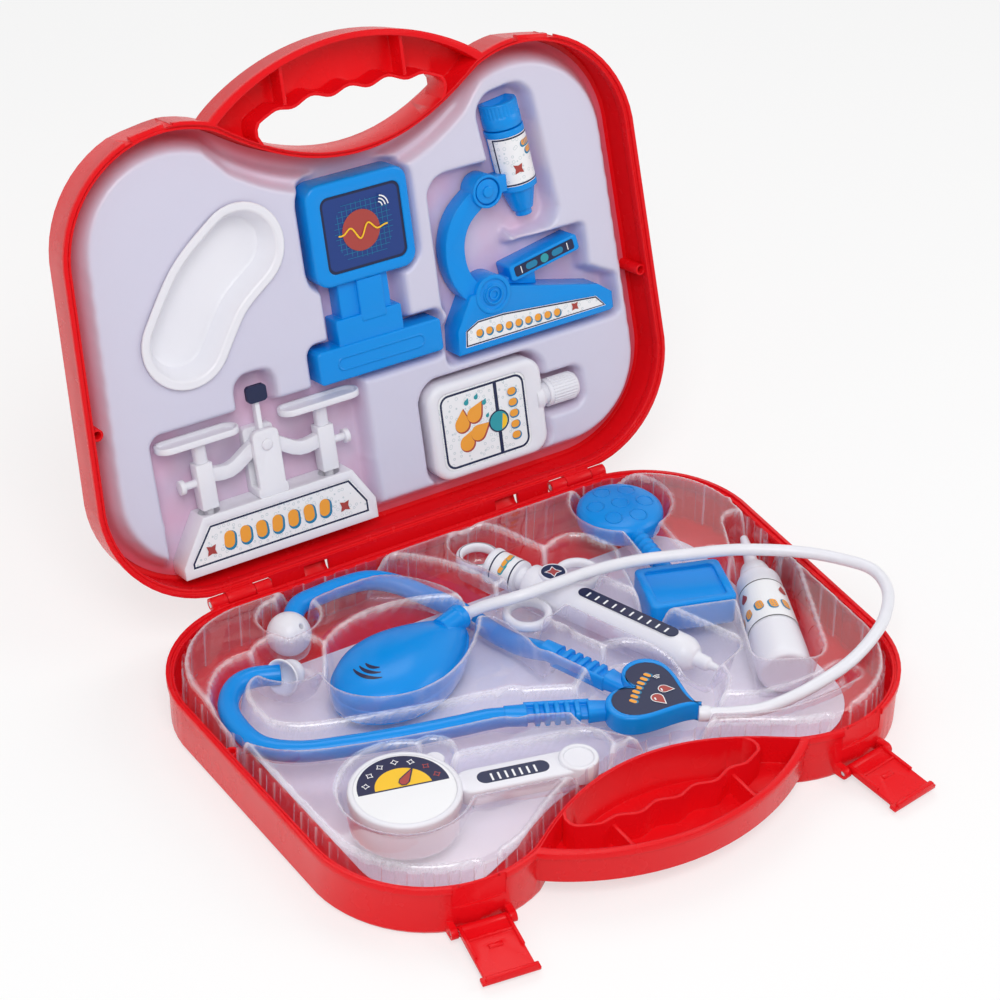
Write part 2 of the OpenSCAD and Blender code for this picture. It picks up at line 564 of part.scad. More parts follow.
module microscope_stage() home() color(blue) in_lid() at_scope() difference() {
  union() {
    at_stage() slab(pocket_w, tool_w - 1) rounded(39, 8, 1.5);
    slab(pocket_w + 0.4, tool_w - 4)
      polygon([[70, 104.1], [70, 106], [74, 106.5], [80, 108], [88, 109], [88, 99.6]]);
  }
  at_stage() slab(tool_w - 1.6, 1) rounded(34, 5, 1);
  translate([62, 102, pocket_w - 1]) cylinder(r = 9.8, h = 30);
}
module microscope_slide() home() color(navy) in_lid() at_scope() at_stage()
  slab(tool_w - 1.6, tool_w - 0.9) rounded(34, 5, 1);

// balance
bal_x = -64 - 0.75 * wider;
beam_u = 58;
pivot_r = 1.6;
module bal_outline(g) translate([bal_x, 0]) polygon([[-50 + g, 12 + g], [-50 + g, 18],
  [-37 + g / 2, 39 - g], [40 - g / 2, 39 - g], [50 - g, 22], [50 - g, 12 + g]]);
module balance_base() home() color(white) in_lid() difference() {
  slab(pocket_w, tool_w) bal_outline(0);
  slab(tool_w - 0.5, 1) bal_outline(4);
  for (s = [-1, 1]) translate([bal_x + s * 31, 41, -12.8]) rotate([90, 0, 0]) cylinder(r = 5, h = 20);
}
module balance_label() home() color(white) in_lid() slab(tool_w - 0.5, tool_w - 0.1) bal_outline(4);
module balance_post() home() color(white) in_lid() difference() {
  union() {
    slab(pocket_w, -14.8) translate([bal_x, 55]) rounded(15, 32, 2);
    slab(-9.8, tool_w - 0.6) translate([bal_x, 55]) rounded(13, 32, 3);
    slab(pocket_w, tool_w - 0.6) translate([bal_x, 41.3]) rounded(15, 4.6, 1);
  }
  translate([bal_x, beam_u + 6, -30]) cylinder(r = pivot_r, h = 30);
}
module balance_pivot() home() color(white) in_lid() translate([bal_x, beam_u + 6, 0]) {
  translate([0, 0, pocket_w]) cylinder(r = pivot_r, h = tool_w - pocket_w);
  translate([0, 0, tool_w - 0.6]) cylinder(r = 2.6, h = 0.9);
}
module balance_beam() home() color(white) in_lid() {
  difference() {
    slab(-14.5, -10.1) union() {
      translate([bal_x, beam_u])
        polygon(ribbon(route([[-33, 0], [-18, -2.5], [0, 6], [18, -2.5], [33, 0]], 5), 3.2));
      translate([bal_x, beam_u + 6]) circle(r = 4.6);
    }
    translate([bal_x, beam_u + 6, -30]) cylinder(r = pivot_r + hinge_play, h = 30);
  }
  for (s = [-1, 1]) translate([bal_x + s * 31, 0, 0]) {
    translate([0, 52, -12.3]) bar(8, 22, -3.6, 3.6);
    translate([0, 42, -12.3]) rotate([90, 0, 0]) cylinder(r = 2.2, h = 10);
    translate([s * 3.9, 54, -12.3]) rotate([0, s * 90, 0]) cylinder(r = 1.8, h = 6);
    translate([s * 9.9, 54, -12.3]) rotate([0, s * 90, 0]) cylinder(r = 3.4, h = 2.4);
  }
  translate([bal_x, 76, -12.3]) bar(2.2, 16, -2.1, 2.1);
}
module balance_pans() home() color(white) in_lid() for (s = [-1, 1]) translate([bal_x + s * 31, 0, -12.3]) {
  translate([0, 73, 0]) rotate([90, 0, 0]) linear_extrude(10) rounded(6, 6, 2);
  difference() {
    translate([0, 76, 0]) rotate([90, 0, 0]) linear_extrude(3) rounded(41, 13.2, 6.4);
    translate([0, 76.1, 0]) rotate([90, 0, 0]) linear_extrude(2) rounded(38, 10.2, 4.9);
  }
}
module balance_scale() home() color([0.1, 0.45, 0.7]) in_lid() slab(-11, -8.6)
  translate([bal_x, 88]) rounded(10, 8, 2);

// gel bottle
cap_r = 7.1;
gel_x = 51.5 * share;
gel_w = (pocket_w + tool_w + 0.8) / 2;
module gel_bottle() home() color(white) in_lid() difference() {
  union() {
    slab(pocket_w, tool_w) translate([gel_x, 41.2]) rounded(63, 48.5, 8);
    translate([gel_x + 31.5, 43.3, gel_w]) rotate([0, 90, 0]) cylinder(r = 5.4, h = 16);
  }
  slab(tool_w - 0.5, 1) translate([gel_x - 2.5, 41.2]) rounded(48, 39, 5);
}
module gel_label() home() color(white) in_lid() slab(tool_w - 0.5, tool_w - 0.1)
  translate([gel_x - 2.5, 41.2]) rounded(48, 39, 5);
module gel_cap() home() color(white) in_lid() translate([gel_x + 35.1, 43.3, gel_w])
  rotate([0, 90, 0]) difference() {
  cylinder(r = cap_r, h = 17);
  translate([0, 0, -1]) cylinder(r = 5.4 + hinge_play, h = 13.5);
  for (a = [0:15:345]) rotate([0, 0, a]) translate([cap_r + 0.35, 0, -1]) cylinder(r = 0.7, h = 16, $fn = 16);
}

// stethoscope
module rib(p, z0, z1) {
  l = norm(p[1] - p[0]);
  a = atan2(p[1][1] - p[0][1], p[1][0] - p[0][0]);
  at_xy(p[0], a) slab(z0, z1) difference() {
    translate([l / 2, 0]) square([l, rib_w], center = true);
    for (k = [0:5]) translate([6 + 5 * k, 0]) square([2.6, rib_w - 2.4], center = true);
  }
}
module headset_tubes() home() color(blue) {
  difference() {
    rib(left_rib, 18.4, 26);
    at_xy(joint_at, joint_dir) slab(0, 60) polygon(heart(22));
  }
  difference() {
    rib(right_rib, 17.4, 25);
    at_xy(joint_at, joint_dir) slab(0, 60) polygon(heart(22));
  }
  sweep(route(left_arm, 3), arm_r, 12);
  sweep(route(right_arm, 3), arm_r, 12);
}
// socket for the end of a tube
module tube_end(p) let (q = route(p, 3), m = len(q) - 1, t = tangent(q, m))
  sweep([q[m] - 14 * t, q[m] - 7 * t, q[m]], arm_r + 0.08, 12);
module ear_tips() home() color([0.93, 0.93, 0.92]) {
  difference() {
    translate(ball_at) sphere(r = ball_r);
    tube_end(right_arm);
    translate(ball_at) rotate([65, 0, -30]) cylinder(r = 1.6, h = 20);
  }
  difference() {
    translate(bell_at) union() {
      sphere(r = 6.4);
      rotate([0, 65, 40]) cylinder(r1 = 5, r2 = 8, h = 7);
    }
    tube_end(left_arm);
  }
}
module heart_joint() home() color(blue) at_xy(joint_at, joint_dir) difference() {
  slab(joint_z, joint_z + 9.5) polygon(heart(22));
  slab(joint_z + 8.9, 50) polygon(heart(19));
}
module heart_label() home() color(navy) at_xy(joint_at, joint_dir) slab(joint_z + 8.9, joint_z + 9.3)
  polygon(heart(19));
module chest_piece() home() color(blue) at_xy(chest_at, chest_dir) difference() {
  union() {
    slab(chest_z, chest_z + 8) polygon(mouse(0));
    translate([0, 0, chest_z + 8]) linear_extrude(7, scale = 0.86) polygon(mouse(0));
    translate([0, 0, chest_z + 15]) linear_extrude(4.5, scale = 0.66) scale(0.86) polygon(mouse(0));
  }
  for (k = [0:2]) translate([-22 + 7 * k, 0, chest_z + 10]) rotate_extrude(angle = 70)
    translate([8 + k, 0]) square([1.6, 12]);
}
module hose() home() color([0.95, 0.95, 0.92]) sweep(route(hose_pts, 3), hose_r, 10);

// syringe along its own axis
module at_syr() translate([syr_at[0], syr_at[1], syr_z]) rotate([0, 0, syr_dir]) rotate([0, 90, 0]) children();
module syringe_barrel() home() color(white) {
  difference() {
    union() {
      at_syr() translate([0, 0, 36]) cylinder(r = barrel_r, h = 84);
      at_syr() translate([0, 0, 31]) cylinder(r = barrel_r + 0.7 - 0.7, h = 6);
      at_syr() translate([0, 0, 120]) cylinder(r1 = barrel_r - 2, r2 = 5, h = 4);
      at_syr() translate([0, 0, 124]) cylinder(r = 3.4, h = 7);
      at_syr() translate([0, 0, 131]) cylinder(r = 1.8, h = 5);
      at_xy(syr_at, syr_dir) {
        slab(ring_z, ring_z + 5) difference() {
          for (q = [-1, 1]) translate([44, q * 19.5]) circle(r = 11.5);
          for (q = [-1, 1]) translate([44, q * 19.5]) circle(r = 7.8);
        }
        slab(syr_z, syr_z + 9.8) translate([42, 2.5]) circle(r = 6.6);
      }
    }
    at_syr() translate([0, 0, 30]) cylinder(r = 5.6, h = 80);
    at_xy(syr_at, syr_dir) slab(syr_z + 8.4, 50) translate([86, 0]) rounded(54, 6.4, 3.1);
    at_xy(syr_at, syr_dir) slab(syr_z + 9.4, 50) translate([42, 2.5]) circle(r = 5.6);
  }
}
module syringe_scale() home() color(navy) at_xy(syr_at, syr_dir) slab(syr_z + 8.4, syr_z + 8.8)
  translate([86, 0]) rounded(54, 6.4, 3.1);
module syringe_badge() home() color(navy) at_xy(syr_at, syr_dir) slab(syr_z + 9.4, syr_z + 9.7)
  translate([42, 2.5]) circle(r = 5.6);
plug_stroke = 5;
module syringe_plunger() home() color(white) {
  difference() {
    union() {
      at_syr() translate([0, 0, 9]) cylinder(r = 8.8, h = 1.8);
      at_syr() translate([0, 0, 10]) cylinder(r = 8.2, h = 31 - plug_stroke - 10 - 0.1);
      at_syr() translate([0, 0, 20]) cylinder(r = 5.55, h = 45);
      at_xy(syr_at, syr_dir) slab(syr_z - 2.6, syr_z + 2.6) difference() {
        circle(r = 10.5);
        circle(r = 7.2);
      }
    }
    at_syr() translate([0, 0, 12]) difference() {
      cylinder(r = 9, h = 12);
      translate([0, 0, -1]) cylinder(r = 7.9, h = 14);
    }
  }
}
module syringe_label() home() color(white) at_syr() translate([0, 0, 12]) difference() {
  cylinder(r = 8.2, h = 12);
  translate([0, 0, -1]) cylinder(r = 7.9, h = 14);
}

// examination lamp
module lamp_head() home() color(blue) {
  difference() {
    at_xy(lamp_at, lamp_dir) {
      translate([0, 0, lamp_z]) cylinder(r = lamp_r, h = 8);
      translate([0, 0, lamp_z + 8]) cylinder(r1 = lamp_r, r2 = lamp_r - 5, h = 4);
    }
    at_xy(lamp_at, lamp_dir) for (a = [0:60:300]) rotate([0, 0, a]) translate([11, 0, lamp_z + 11.4])
      cylinder(r = 4, h = 3);
    at_xy(lamp_at, lamp_dir) translate([0, 0, lamp_z + 11.4]) cylinder(r = 4, h = 3);
  }
}
module lamp_grip() home() color(blue) {
  difference() {
    at_xy(lamp_at, lamp_dir) translate([lamp_r - 3, 0, lamp_z + 4.5]) rotate([0, 90, 0]) union() {
      cylinder(r = 4, h = 40);
      for (k = [0:4]) translate([0, 0, 5 + 4 * k]) cylinder(r = 4.5, h = 2);
    }
    at_xy(lamp_at, lamp_dir) translate([0, 0, lamp_z - 1]) cylinder(r = lamp_r, h = 20);
  }
  at_xy(grip_at, grip_dir) difference() {
    slab(grip_z, grip_z + 15) rounded(31, grip_w, 2.5);
    slab(grip_z + 14, 60) rounded(24, grip_w - 8, 2);
  }
}

// nasal spray
module at_spray() translate([spray_at[0], spray_at[1], spray_z]) rotate([0, 0, spray_dir])
  rotate([0, 90, 0]) children();
module spray_bottle() home() color(white) at_spray() {
  difference() {
    union() {
      translate([0, 0, 38]) cylinder(r1 = 10.6, r2 = spray_r, h = 52);
      translate([0, 0, 90]) cylinder(r = spray_r, h = 12);
      translate([0, 0, 102]) cylinder(r1 = spray_r, r2 = spray_r - 2.6, h = 3);
      translate([0, 0, 34]) cylinder(r1 = 7.5, r2 = 10.6, h = 4);
    }
    translate([0, 0, 48]) difference() {
      cylinder(r = 20, h = 30);
      translate([0, 0, -1]) cylinder(r1 = 10.7, r2 = 11.9, h = 32);
    }
  }
}
module spray_label() home() color(white) at_spray() translate([0, 0, 48]) difference() {
  cylinder(r1 = 11, r2 = 12.1, h = 30);
  translate([0, 0, -1]) cylinder(r1 = 10.7, r2 = 11.9, h = 32);
}
module spray_nozzle() home() color(white) at_spray() {
  cylinder(r1 = 1.6, r2 = 2.2, h = 4);
  translate([0, 0, 4]) cylinder(r1 = 2.2, r2 = 3.6, h = 20);
  translate([0, 0, 24]) cylinder(r1 = 3.6, r2 = 7.5, h = 8);
  translate([0, 0, 32]) cylinder(r = 7.5, h = 2);
}

// pressure gauge
module gauge_body() home() color(white) at_xy(gauge_at, gauge_dir) difference() {
  union() {
    slab(gauge_z + 13, gauge_z + 19) circle(r = 24);
    slab(gauge_z + 8, gauge_z + 16) translate([52, 0]) rounded(60, 15, 7);
    slab(gauge_z + 8, gauge_z + 17.4) translate([76, 0]) circle(r = 8.6);
    slab(gauge_z + 13, gauge_z + 16) translate([18, 18]) circle(r = 4.5);
  }
  slab(gauge_z + 18.4, 60) circle(r = 21.5);
  slab(gauge_z + 15.5, 60) translate([47, 0]) rounded(32, 8, 3.9);
}
module gauge_face() home() color(navy) at_xy(gauge_at, gauge_dir) slab(gauge_z + 18.4, gauge_z + 18.8)
  circle(r = 21.5);
module gauge_strip() home() color(navy) at_xy(gauge_at, gauge_dir) slab(gauge_z + 15.5, gauge_z + 15.9)
  translate([47, 0]) rounded(32, 8, 3.9);
module gauge_cuff() home() color(white) at_xy(gauge_at, gauge_dir) difference() {
  slab(gauge_z, gauge_z + 13) circle(r = 23);
  slab(gauge_z - 1, gauge_z + 14) circle(r = 21);
  slab(gauge_z - 1, gauge_z + 14) translate([20, 0]) square([24, 26], center = true);
}

base_shell();
lid_shell();
hinge_pins();
left_latch();
right_latch();
latch_pins();
floor_card();
clear_tray();
lid_tray();
kidney_dish();
monitor_head();
monitor_screen();
monitor_stand();
microscope_frame();
microscope_label();
microscope_tube();
microscope_tube_label();
microscope_eyepiece();
microscope_knob();
microscope_stage();
microscope_slide();
balance_base();
balance_label();
balance_post();
balance_beam();
balance_pans();
balance_scale();
balance_pivot();
gel_bottle();
gel_cap();
gel_label();
headset_tubes();
ear_tips();
heart_joint();
heart_label();
chest_piece();
hose();
syringe_barrel();
syringe_plunger();
syringe_label();
syringe_scale();
syringe_badge();
lamp_head();
lamp_grip();
spray_bottle();
spray_nozzle();
spray_label();
gauge_body();
gauge_face();
gauge_strip();
gauge_cuff();
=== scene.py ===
"""Looks of the toy doctor case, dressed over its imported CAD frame.

Every class below is one sub-assembly. Its fields are real sizes in millimetres, read in the
case's own frames: the base frame (x to the right, y to the hinge, z up) and the lid frame
(x to the right, u away from the hinge, w towards the inside of the case).
"""

from __future__ import annotations

import json
import logging
import math
from dataclasses import dataclass, field
from enum import Enum
from typing import Callable, Iterable, Sequence

import bmesh
import bpy
import numpy as np
from mathutils import Matrix, Vector
from mathutils.bvhtree import BVHTree

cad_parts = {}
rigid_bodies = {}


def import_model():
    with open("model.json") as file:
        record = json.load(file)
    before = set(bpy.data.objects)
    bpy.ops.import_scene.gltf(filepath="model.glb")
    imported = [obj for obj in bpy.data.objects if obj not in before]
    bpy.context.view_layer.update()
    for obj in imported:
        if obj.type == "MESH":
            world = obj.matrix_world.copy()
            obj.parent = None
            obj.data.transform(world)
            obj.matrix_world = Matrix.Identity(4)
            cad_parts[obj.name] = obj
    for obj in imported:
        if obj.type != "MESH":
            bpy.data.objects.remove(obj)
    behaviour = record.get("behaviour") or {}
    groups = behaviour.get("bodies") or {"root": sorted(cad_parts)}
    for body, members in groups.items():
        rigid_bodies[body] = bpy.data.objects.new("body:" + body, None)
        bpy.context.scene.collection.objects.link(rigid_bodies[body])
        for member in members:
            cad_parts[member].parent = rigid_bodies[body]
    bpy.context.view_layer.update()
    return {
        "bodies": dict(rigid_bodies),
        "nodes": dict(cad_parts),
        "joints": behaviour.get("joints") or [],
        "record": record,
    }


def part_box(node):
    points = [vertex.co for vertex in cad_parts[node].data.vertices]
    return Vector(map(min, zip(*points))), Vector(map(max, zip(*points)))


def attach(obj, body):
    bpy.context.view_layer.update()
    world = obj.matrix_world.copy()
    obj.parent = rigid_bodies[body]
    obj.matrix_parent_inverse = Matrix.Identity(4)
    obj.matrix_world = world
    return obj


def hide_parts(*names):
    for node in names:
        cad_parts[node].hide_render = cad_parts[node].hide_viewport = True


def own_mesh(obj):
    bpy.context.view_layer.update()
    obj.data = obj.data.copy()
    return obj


log = logging.getLogger("doctor_case")
MM = 0.001
Flat = Sequence[tuple[float, float]]


class Body(str, Enum):
    """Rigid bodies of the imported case."""

    BASE = "base"
    LID = "lid"
    LEFT_LATCH = "left_latch"
    RIGHT_LATCH = "right_latch"
    BALANCE = "balance_arm"
    PLUNGER = "plunger"
    KNOB = "scope_knob"
    CAP = "gel_cap"


class Slot(str, Enum):
    """Material slots of the record."""

    RED = "red_shell"
    STEEL = "steel_pin"
    CARD = "card"
    CLEAR = "clear_sheet"
    PALE = "pale_sheet"
    WHITE = "white_plastic"
    BLUE = "blue_plastic"
    NAVY_PRINT = "navy_print"
    WHITE_PRINT = "white_print"
    HOSE = "hose_vinyl"


class Ink(str, Enum):
    """Print colours of the stickers, as sRGB hex."""

    WHITE = "F1F2F4"
    NAVY = "1C2548"
    TEAL = "2E9BA6"
    ORANGE = "F2A33A"
    YELLOW = "F7C62B"
    BRICK = "A9443E"
    BLACK = "20222B"
    SKY = "1E7FA8"
    ROYAL = "1F3C80"


# ---------------------------------------------------------------- materials


def linear(code: str) -> tuple[float, float, float, float]:
    """Turns an sRGB hex colour into linear RGBA.

    Args:
        code: six hex digits.

    Returns:
        Linear red, green, blue and an alpha of 1.
    """
    parts = [int(code[i : i + 2], 16) / 255 for i in (0, 2, 4)]
    r, g, b = [c / 12.92 if c <= 0.04045 else ((c + 0.055) / 1.055) ** 2.4 for c in parts]
    return r, g, b, 1.0


def add_node(tree: bpy.types.NodeTree, kind: str, inputs: dict | None = None, **settings: object) -> bpy.types.Node:
    """Adds one node with its settings, values and links.

    Args:
        tree: the tree that gets it.
        kind: the node's class name.
        inputs: socket name or number to a value, or to the output that feeds it.
        settings: the node's own properties.

    Returns:
        The new node.
    """
    node = tree.nodes.new(kind)
    for name, value in settings.items():
        setattr(node, name, value)
    for name, value in (inputs or {}).items():
        socket = node.inputs[name]
        if isinstance(value, bpy.types.NodeSocket):
            tree.links.new(value, socket)
        else:
            socket.default_value = value
    return node


def new_tree(name: str) -> tuple[bpy.types.Material, bpy.types.NodeTree]:
    """Makes an empty node material.

    Args:
        name: the material's name.

    Returns:
        The material and its cleared tree.
    """
    material = bpy.data.materials.new(name)
    material.use_nodes = True
    material.node_tree.nodes.clear()
    return material, material.node_tree


@dataclass(frozen=True)
class MouldedPlastic:
    """Injection-moulded polypropylene: a satin gloss with a faint orange-peel skin.

    The mould leaves soft corners, slow waves where the wall shrank and a colour that is never
    quite even, so each has its own size here.
    """

    name: str
    colour: str
    shade: str
    roughness: float = 0.28
    corner_mm: float = 0.5
    peel_mm: float = 0.9
    peel_depth_mm: float = 0.002
    sheen: float = 0.3
    wave_mm: float = 28.0
    wave_depth_mm: float = 0.04
    clouding: float = 0.35
    glow: float = 0.0

    def build(self) -> bpy.types.Material:
        """Builds the node material and returns it."""
        material, tree = new_tree(self.name)
        place = add_node(tree, "ShaderNodeTexCoord").outputs["Object"]
        cloud = add_node(tree, "ShaderNodeTexNoise", {"Vector": place, "Scale": 1 / (45 * MM), "Detail": 3.0})
        amount = add_node(tree, "ShaderNodeMath", {0: cloud.outputs["Fac"], 1: self.clouding}, operation="MULTIPLY")
        colour = add_node(
            tree,
            "ShaderNodeMix",
            {"Factor": amount.outputs[0], "A": linear(self.colour), "B": linear(self.shade)},
            data_type="RGBA",
        )
        smear = add_node(tree, "ShaderNodeTexNoise", {"Vector": place, "Scale": 1 / (12 * MM), "Detail": 4.0})
        rough = add_node(
            tree,
            "ShaderNodeMapRange",
            {"Value": smear.outputs["Fac"], "To Min": self.roughness - 0.05, "To Max": self.roughness + 0.06},
        )
        corner = add_node(tree, "ShaderNodeBevel", {"Radius": self.corner_mm * MM}, samples=4)
        wave = add_node(tree, "ShaderNodeTexNoise", {"Vector": place, "Scale": 1 / (self.wave_mm * MM), "Detail": 1.0})
        slow = add_node(
            tree,
            "ShaderNodeBump",
            {"Height": wave.outputs["Fac"], "Distance": self.wave_depth_mm * MM * 10, "Strength": 0.6,
             "Normal": corner.outputs["Normal"]},
        )
        peel = add_node(tree, "ShaderNodeTexNoise", {"Vector": place, "Scale": 1 / (self.peel_mm * MM), "Detail": 2.0})
        fine = add_node(
            tree,
            "ShaderNodeBump",
            {"Height": peel.outputs["Fac"], "Distance": self.peel_depth_mm * MM * 10, "Strength": 0.5,
             "Normal": slow.outputs["Normal"]},
        )
        shader = add_node(
            tree,
            "ShaderNodeBsdfPrincipled",
            {
                "Base Color": colour.outputs["Result"],
                "Roughness": rough.outputs["Result"],
                "Normal": fine.outputs["Normal"],
                "IOR": 1.49,
                "Specular IOR Level": self.sheen,
            },
        )
        add_node(tree, "ShaderNodeOutputMaterial", {"Surface": shader.outputs["BSDF"]})
        return material


@dataclass(frozen=True)
class ClearSheet:
    """Thermoformed clear sheet: nearly invisible face on, a pale mirror where it turns away.

    Forming leaves slow ripples, which bend what it mirrors. A point attribute says where the sheet was folded: there a
    fine pale line of painted highlight is mixed in, standing for the light that the folds catch.
    """

    name: str = "clear_formed_pvc"
    tint: str = "F8F6FB"
    # pale colour of the haze, and of the painted highlight lines at the folds
    cloud: str = "F2EFF7"
    haze: float = 0.035
    # share of the pale colour at the sharpest folds: the painted highlight's strength
    crease_highlight: float = 0.6
    ripple_mm: float = 24.0
    ripple_depth_mm: float = 0.45
    gloss: float = 0.05

    def build(self) -> bpy.types.Material:
        """Builds the node material and returns it."""
        material, tree = new_tree(self.name)
        place = add_node(tree, "ShaderNodeTexCoord").outputs["Object"]
        ripple = add_node(tree, "ShaderNodeTexNoise", {"Vector": place, "Scale": 1 / (self.ripple_mm * MM), "Detail": 1.0})
        bump = add_node(
            tree,
            "ShaderNodeBump",
            {"Height": ripple.outputs["Fac"], "Distance": self.ripple_depth_mm * MM, "Strength": 1.0},
        )
        edge = add_node(tree, "ShaderNodeLayerWeight", {"Blend": 0.5, "Normal": bump.outputs["Normal"]})
        steep = add_node(tree, "ShaderNodeMath", {0: edge.outputs["Facing"], 1: 4.0}, operation="POWER")
        mirror = add_node(tree, "ShaderNodeMapRange", {"Value": steep.outputs[0], "To Min": 0.055, "To Max": 0.95})
        see = add_node(tree, "ShaderNodeBsdfTransparent", {"Color": linear(self.tint)})
        shine = add_node(
            tree,
            "ShaderNodeBsdfGlossy",
            {"Color": linear("FFFFFF"), "Roughness": self.gloss, "Normal": bump.outputs["Normal"]},
        )
        cloud = add_node(tree, "ShaderNodeBsdfDiffuse", {"Color": linear(self.cloud), "Normal": bump.outputs["Normal"]})
        # painted highlight: more of the pale diffuse colour is mixed in where the sheet is folded, standing for light
        # caught there
        bent = add_node(tree, "ShaderNodeAttribute", attribute_name="crease_highlight").outputs["Fac"]
        haze_and_highlight = add_node(tree, "ShaderNodeMapRange", {"Value": bent, "To Min": self.haze, "To Max": self.crease_highlight})
        body = add_node(tree, "ShaderNodeMixShader", {0: haze_and_highlight.outputs["Result"], 1: see.outputs[0], 2: cloud.outputs[0]})
        mixed = add_node(tree, "ShaderNodeMixShader", {0: mirror.outputs["Result"], 1: body.outputs[0], 2: shine.outputs[0]})
        add_node(tree, "ShaderNodeOutputMaterial", {"Surface": mixed.outputs[0]})
        return material


@dataclass(frozen=True)
class FormedSheet:
    """Thermoformed white sheet, with painted light: the red glow of the shell through its slope to the rim is painted
    into its colour.

    The sheet's "depth" attribute says how far below the plateau a point was drawn, and "margin" how near it is to the
    sheet's edge; together they say where the painted red glow goes, pink deep in the pockets and red at the rim.
    """

    name: str = "white_formed_sheet"
    colour: str = "D2D0E3"
    # painted light: the shell's red glow, pale pink deep in the pockets and red at the rim, and the share of red that
    # the rim gets
    deep_red_glow: str = "DDA9C6"
    margin: str = "D8203A"
    red_glow_share: float = 0.82
    roughness: float = 0.34
    ripple_mm: float = 16.0

    def build(self) -> bpy.types.Material:
        """Builds the node material and returns it."""
        material, tree = new_tree(self.name)
        place = add_node(tree, "ShaderNodeTexCoord").outputs["Object"]
        # painted red glow: pinker the deeper the sheet is drawn, in patches, and red towards the edge
        depth = add_node(tree, "ShaderNodeAttribute", attribute_name="depth").outputs["Fac"]
        patch = add_node(tree, "ShaderNodeTexNoise", {"Vector": place, "Scale": 1 / (22 * MM), "Detail": 2.0})
        glow = add_node(tree, "ShaderNodeMath", {0: depth, 1: patch.outputs["Fac"]}, operation="MULTIPLY")
        pink = add_node(
            tree,
            "ShaderNodeMix",
            {"Factor": glow.outputs[0], "A": linear(self.colour), "B": linear(self.deep_red_glow)},
            data_type="RGBA",
        )
        edge = add_node(tree, "ShaderNodeAttribute", attribute_name="margin").outputs["Fac"]
        edge_glow_share = add_node(tree, "ShaderNodeMapRange", {"Value": edge, "To Min": 0.0, "To Max": self.red_glow_share})
        colour = add_node(
            tree,
            "ShaderNodeMix",
            {"Factor": edge_glow_share.outputs["Result"], "A": pink.outputs["Result"], "B": linear(self.margin)},
            data_type="RGBA",
        )
        ripple = add_node(tree, "ShaderNodeTexNoise", {"Vector": place, "Scale": 1 / (self.ripple_mm * MM), "Detail": 2.5})
        bump = add_node(tree, "ShaderNodeBump", {"Height": ripple.outputs["Fac"], "Distance": 0.0012, "Strength": 0.35})
        shader = add_node(
            tree,
            "ShaderNodeBsdfPrincipled",
            {
                "Base Color": colour.outputs["Result"],
                "Roughness": self.roughness,
                "Normal": bump.outputs["Normal"],
                "IOR": 1.5,
            },
        )
        add_node(tree, "ShaderNodeOutputMaterial", {"Surface": shader.outputs["BSDF"]})
        return material


@dataclass(frozen=True)
class GlossSticker:
    """Printed gloss paper sticker: flat ink under a clear coat, with a light sprinkle of line dots."""

    name: str
    ink: str
    speck: str = ""
    speck_mm: float = 2.6
    roughness: float = 0.3

    def build(self) -> bpy.types.Material:
        """Builds the node material and returns it."""
        material, tree = new_tree(self.name)
        place = add_node(tree, "ShaderNodeTexCoord").outputs["Object"]
        colour: object = linear(self.ink)
        if self.speck:
            cell = add_node(
                tree,
                "ShaderNodeTexVoronoi",
                {"Vector": place, "Scale": 1 / (self.speck_mm * MM), "Randomness": 0.9},
            )
            ring = add_node(
                tree,
                "ShaderNodeMath",
                {0: cell.outputs["Distance"], 1: 0.28, 2: 0.05},
                operation="COMPARE",
            )
            soft = add_node(tree, "ShaderNodeMath", {0: ring.outputs[0], 1: 0.45}, operation="MULTIPLY")
            colour = add_node(
                tree,
                "ShaderNodeMix",
                {"Factor": soft.outputs[0], "A": linear(self.ink), "B": linear(self.speck)},
                data_type="RGBA",
            ).outputs["Result"]
        fibre = add_node(tree, "ShaderNodeTexNoise", {"Vector": place, "Scale": 1 / (1.2 * MM), "Detail": 2.0})
        bump = add_node(tree, "ShaderNodeBump", {"Height": fibre.outputs["Fac"], "Distance": 0.00002, "Strength": 0.4})
        shader = add_node(
            tree,
            "ShaderNodeBsdfPrincipled",
            {"Base Color": colour, "Roughness": self.roughness, "Normal": bump.outputs["Normal"], "IOR": 1.5,
             "Specular IOR Level": 0.3, "Coat Weight": 0.08},
        )
        add_node(tree, "ShaderNodeOutputMaterial", {"Surface": shader.outputs["BSDF"]})
        return material


@dataclass(frozen=True)
class PlainSkin:
    """A plain finish with its own fine grain: drawn steel wire, coated card or soft vinyl."""

    name: str
    colour: str
    roughness: float
    metallic: float = 0.0
    grain_mm: float = 0.6
    grain_depth_mm: float = 0.01
    stretch: float = 1.0

    def build(self) -> bpy.types.Material:
        """Builds the node material and returns it."""
        material, tree = new_tree(self.name)
        place = add_node(tree, "ShaderNodeTexCoord").outputs["Object"]
        drawn = add_node(tree, "ShaderNodeMapping", {"Vector": place, "Scale": (1 / self.stretch, 1.0, 1.0)})
        grain = add_node(
            tree, "ShaderNodeTexNoise", {"Vector": drawn.outputs[0], "Scale": 1 / (self.grain_mm * MM), "Detail": 3.0}
        )
        tone = add_node(tree, "ShaderNodeMapRange", {"Value": grain.outputs["Fac"], "To Min": 0.93, "To Max": 1.03})
        colour = add_node(
            tree,
            "ShaderNodeVectorMath",
            {0: linear(self.colour)[:3], "Scale": tone.outputs["Result"]},
            operation="SCALE",
        )
        bump = add_node(
            tree,
            "ShaderNodeBump",
            {"Height": grain.outputs["Fac"], "Distance": self.grain_depth_mm * MM * 10, "Strength": 0.4},
        )
        shader = add_node(
            tree,
            "ShaderNodeBsdfPrincipled",
            {
                "Base Color": colour.outputs["Vector"],
                "Roughness": self.roughness,
                "Metallic": self.metallic,
                "Normal": bump.outputs["Normal"],
            },
        )
        add_node(tree, "ShaderNodeOutputMaterial", {"Surface": shader.outputs["BSDF"]})
        return material


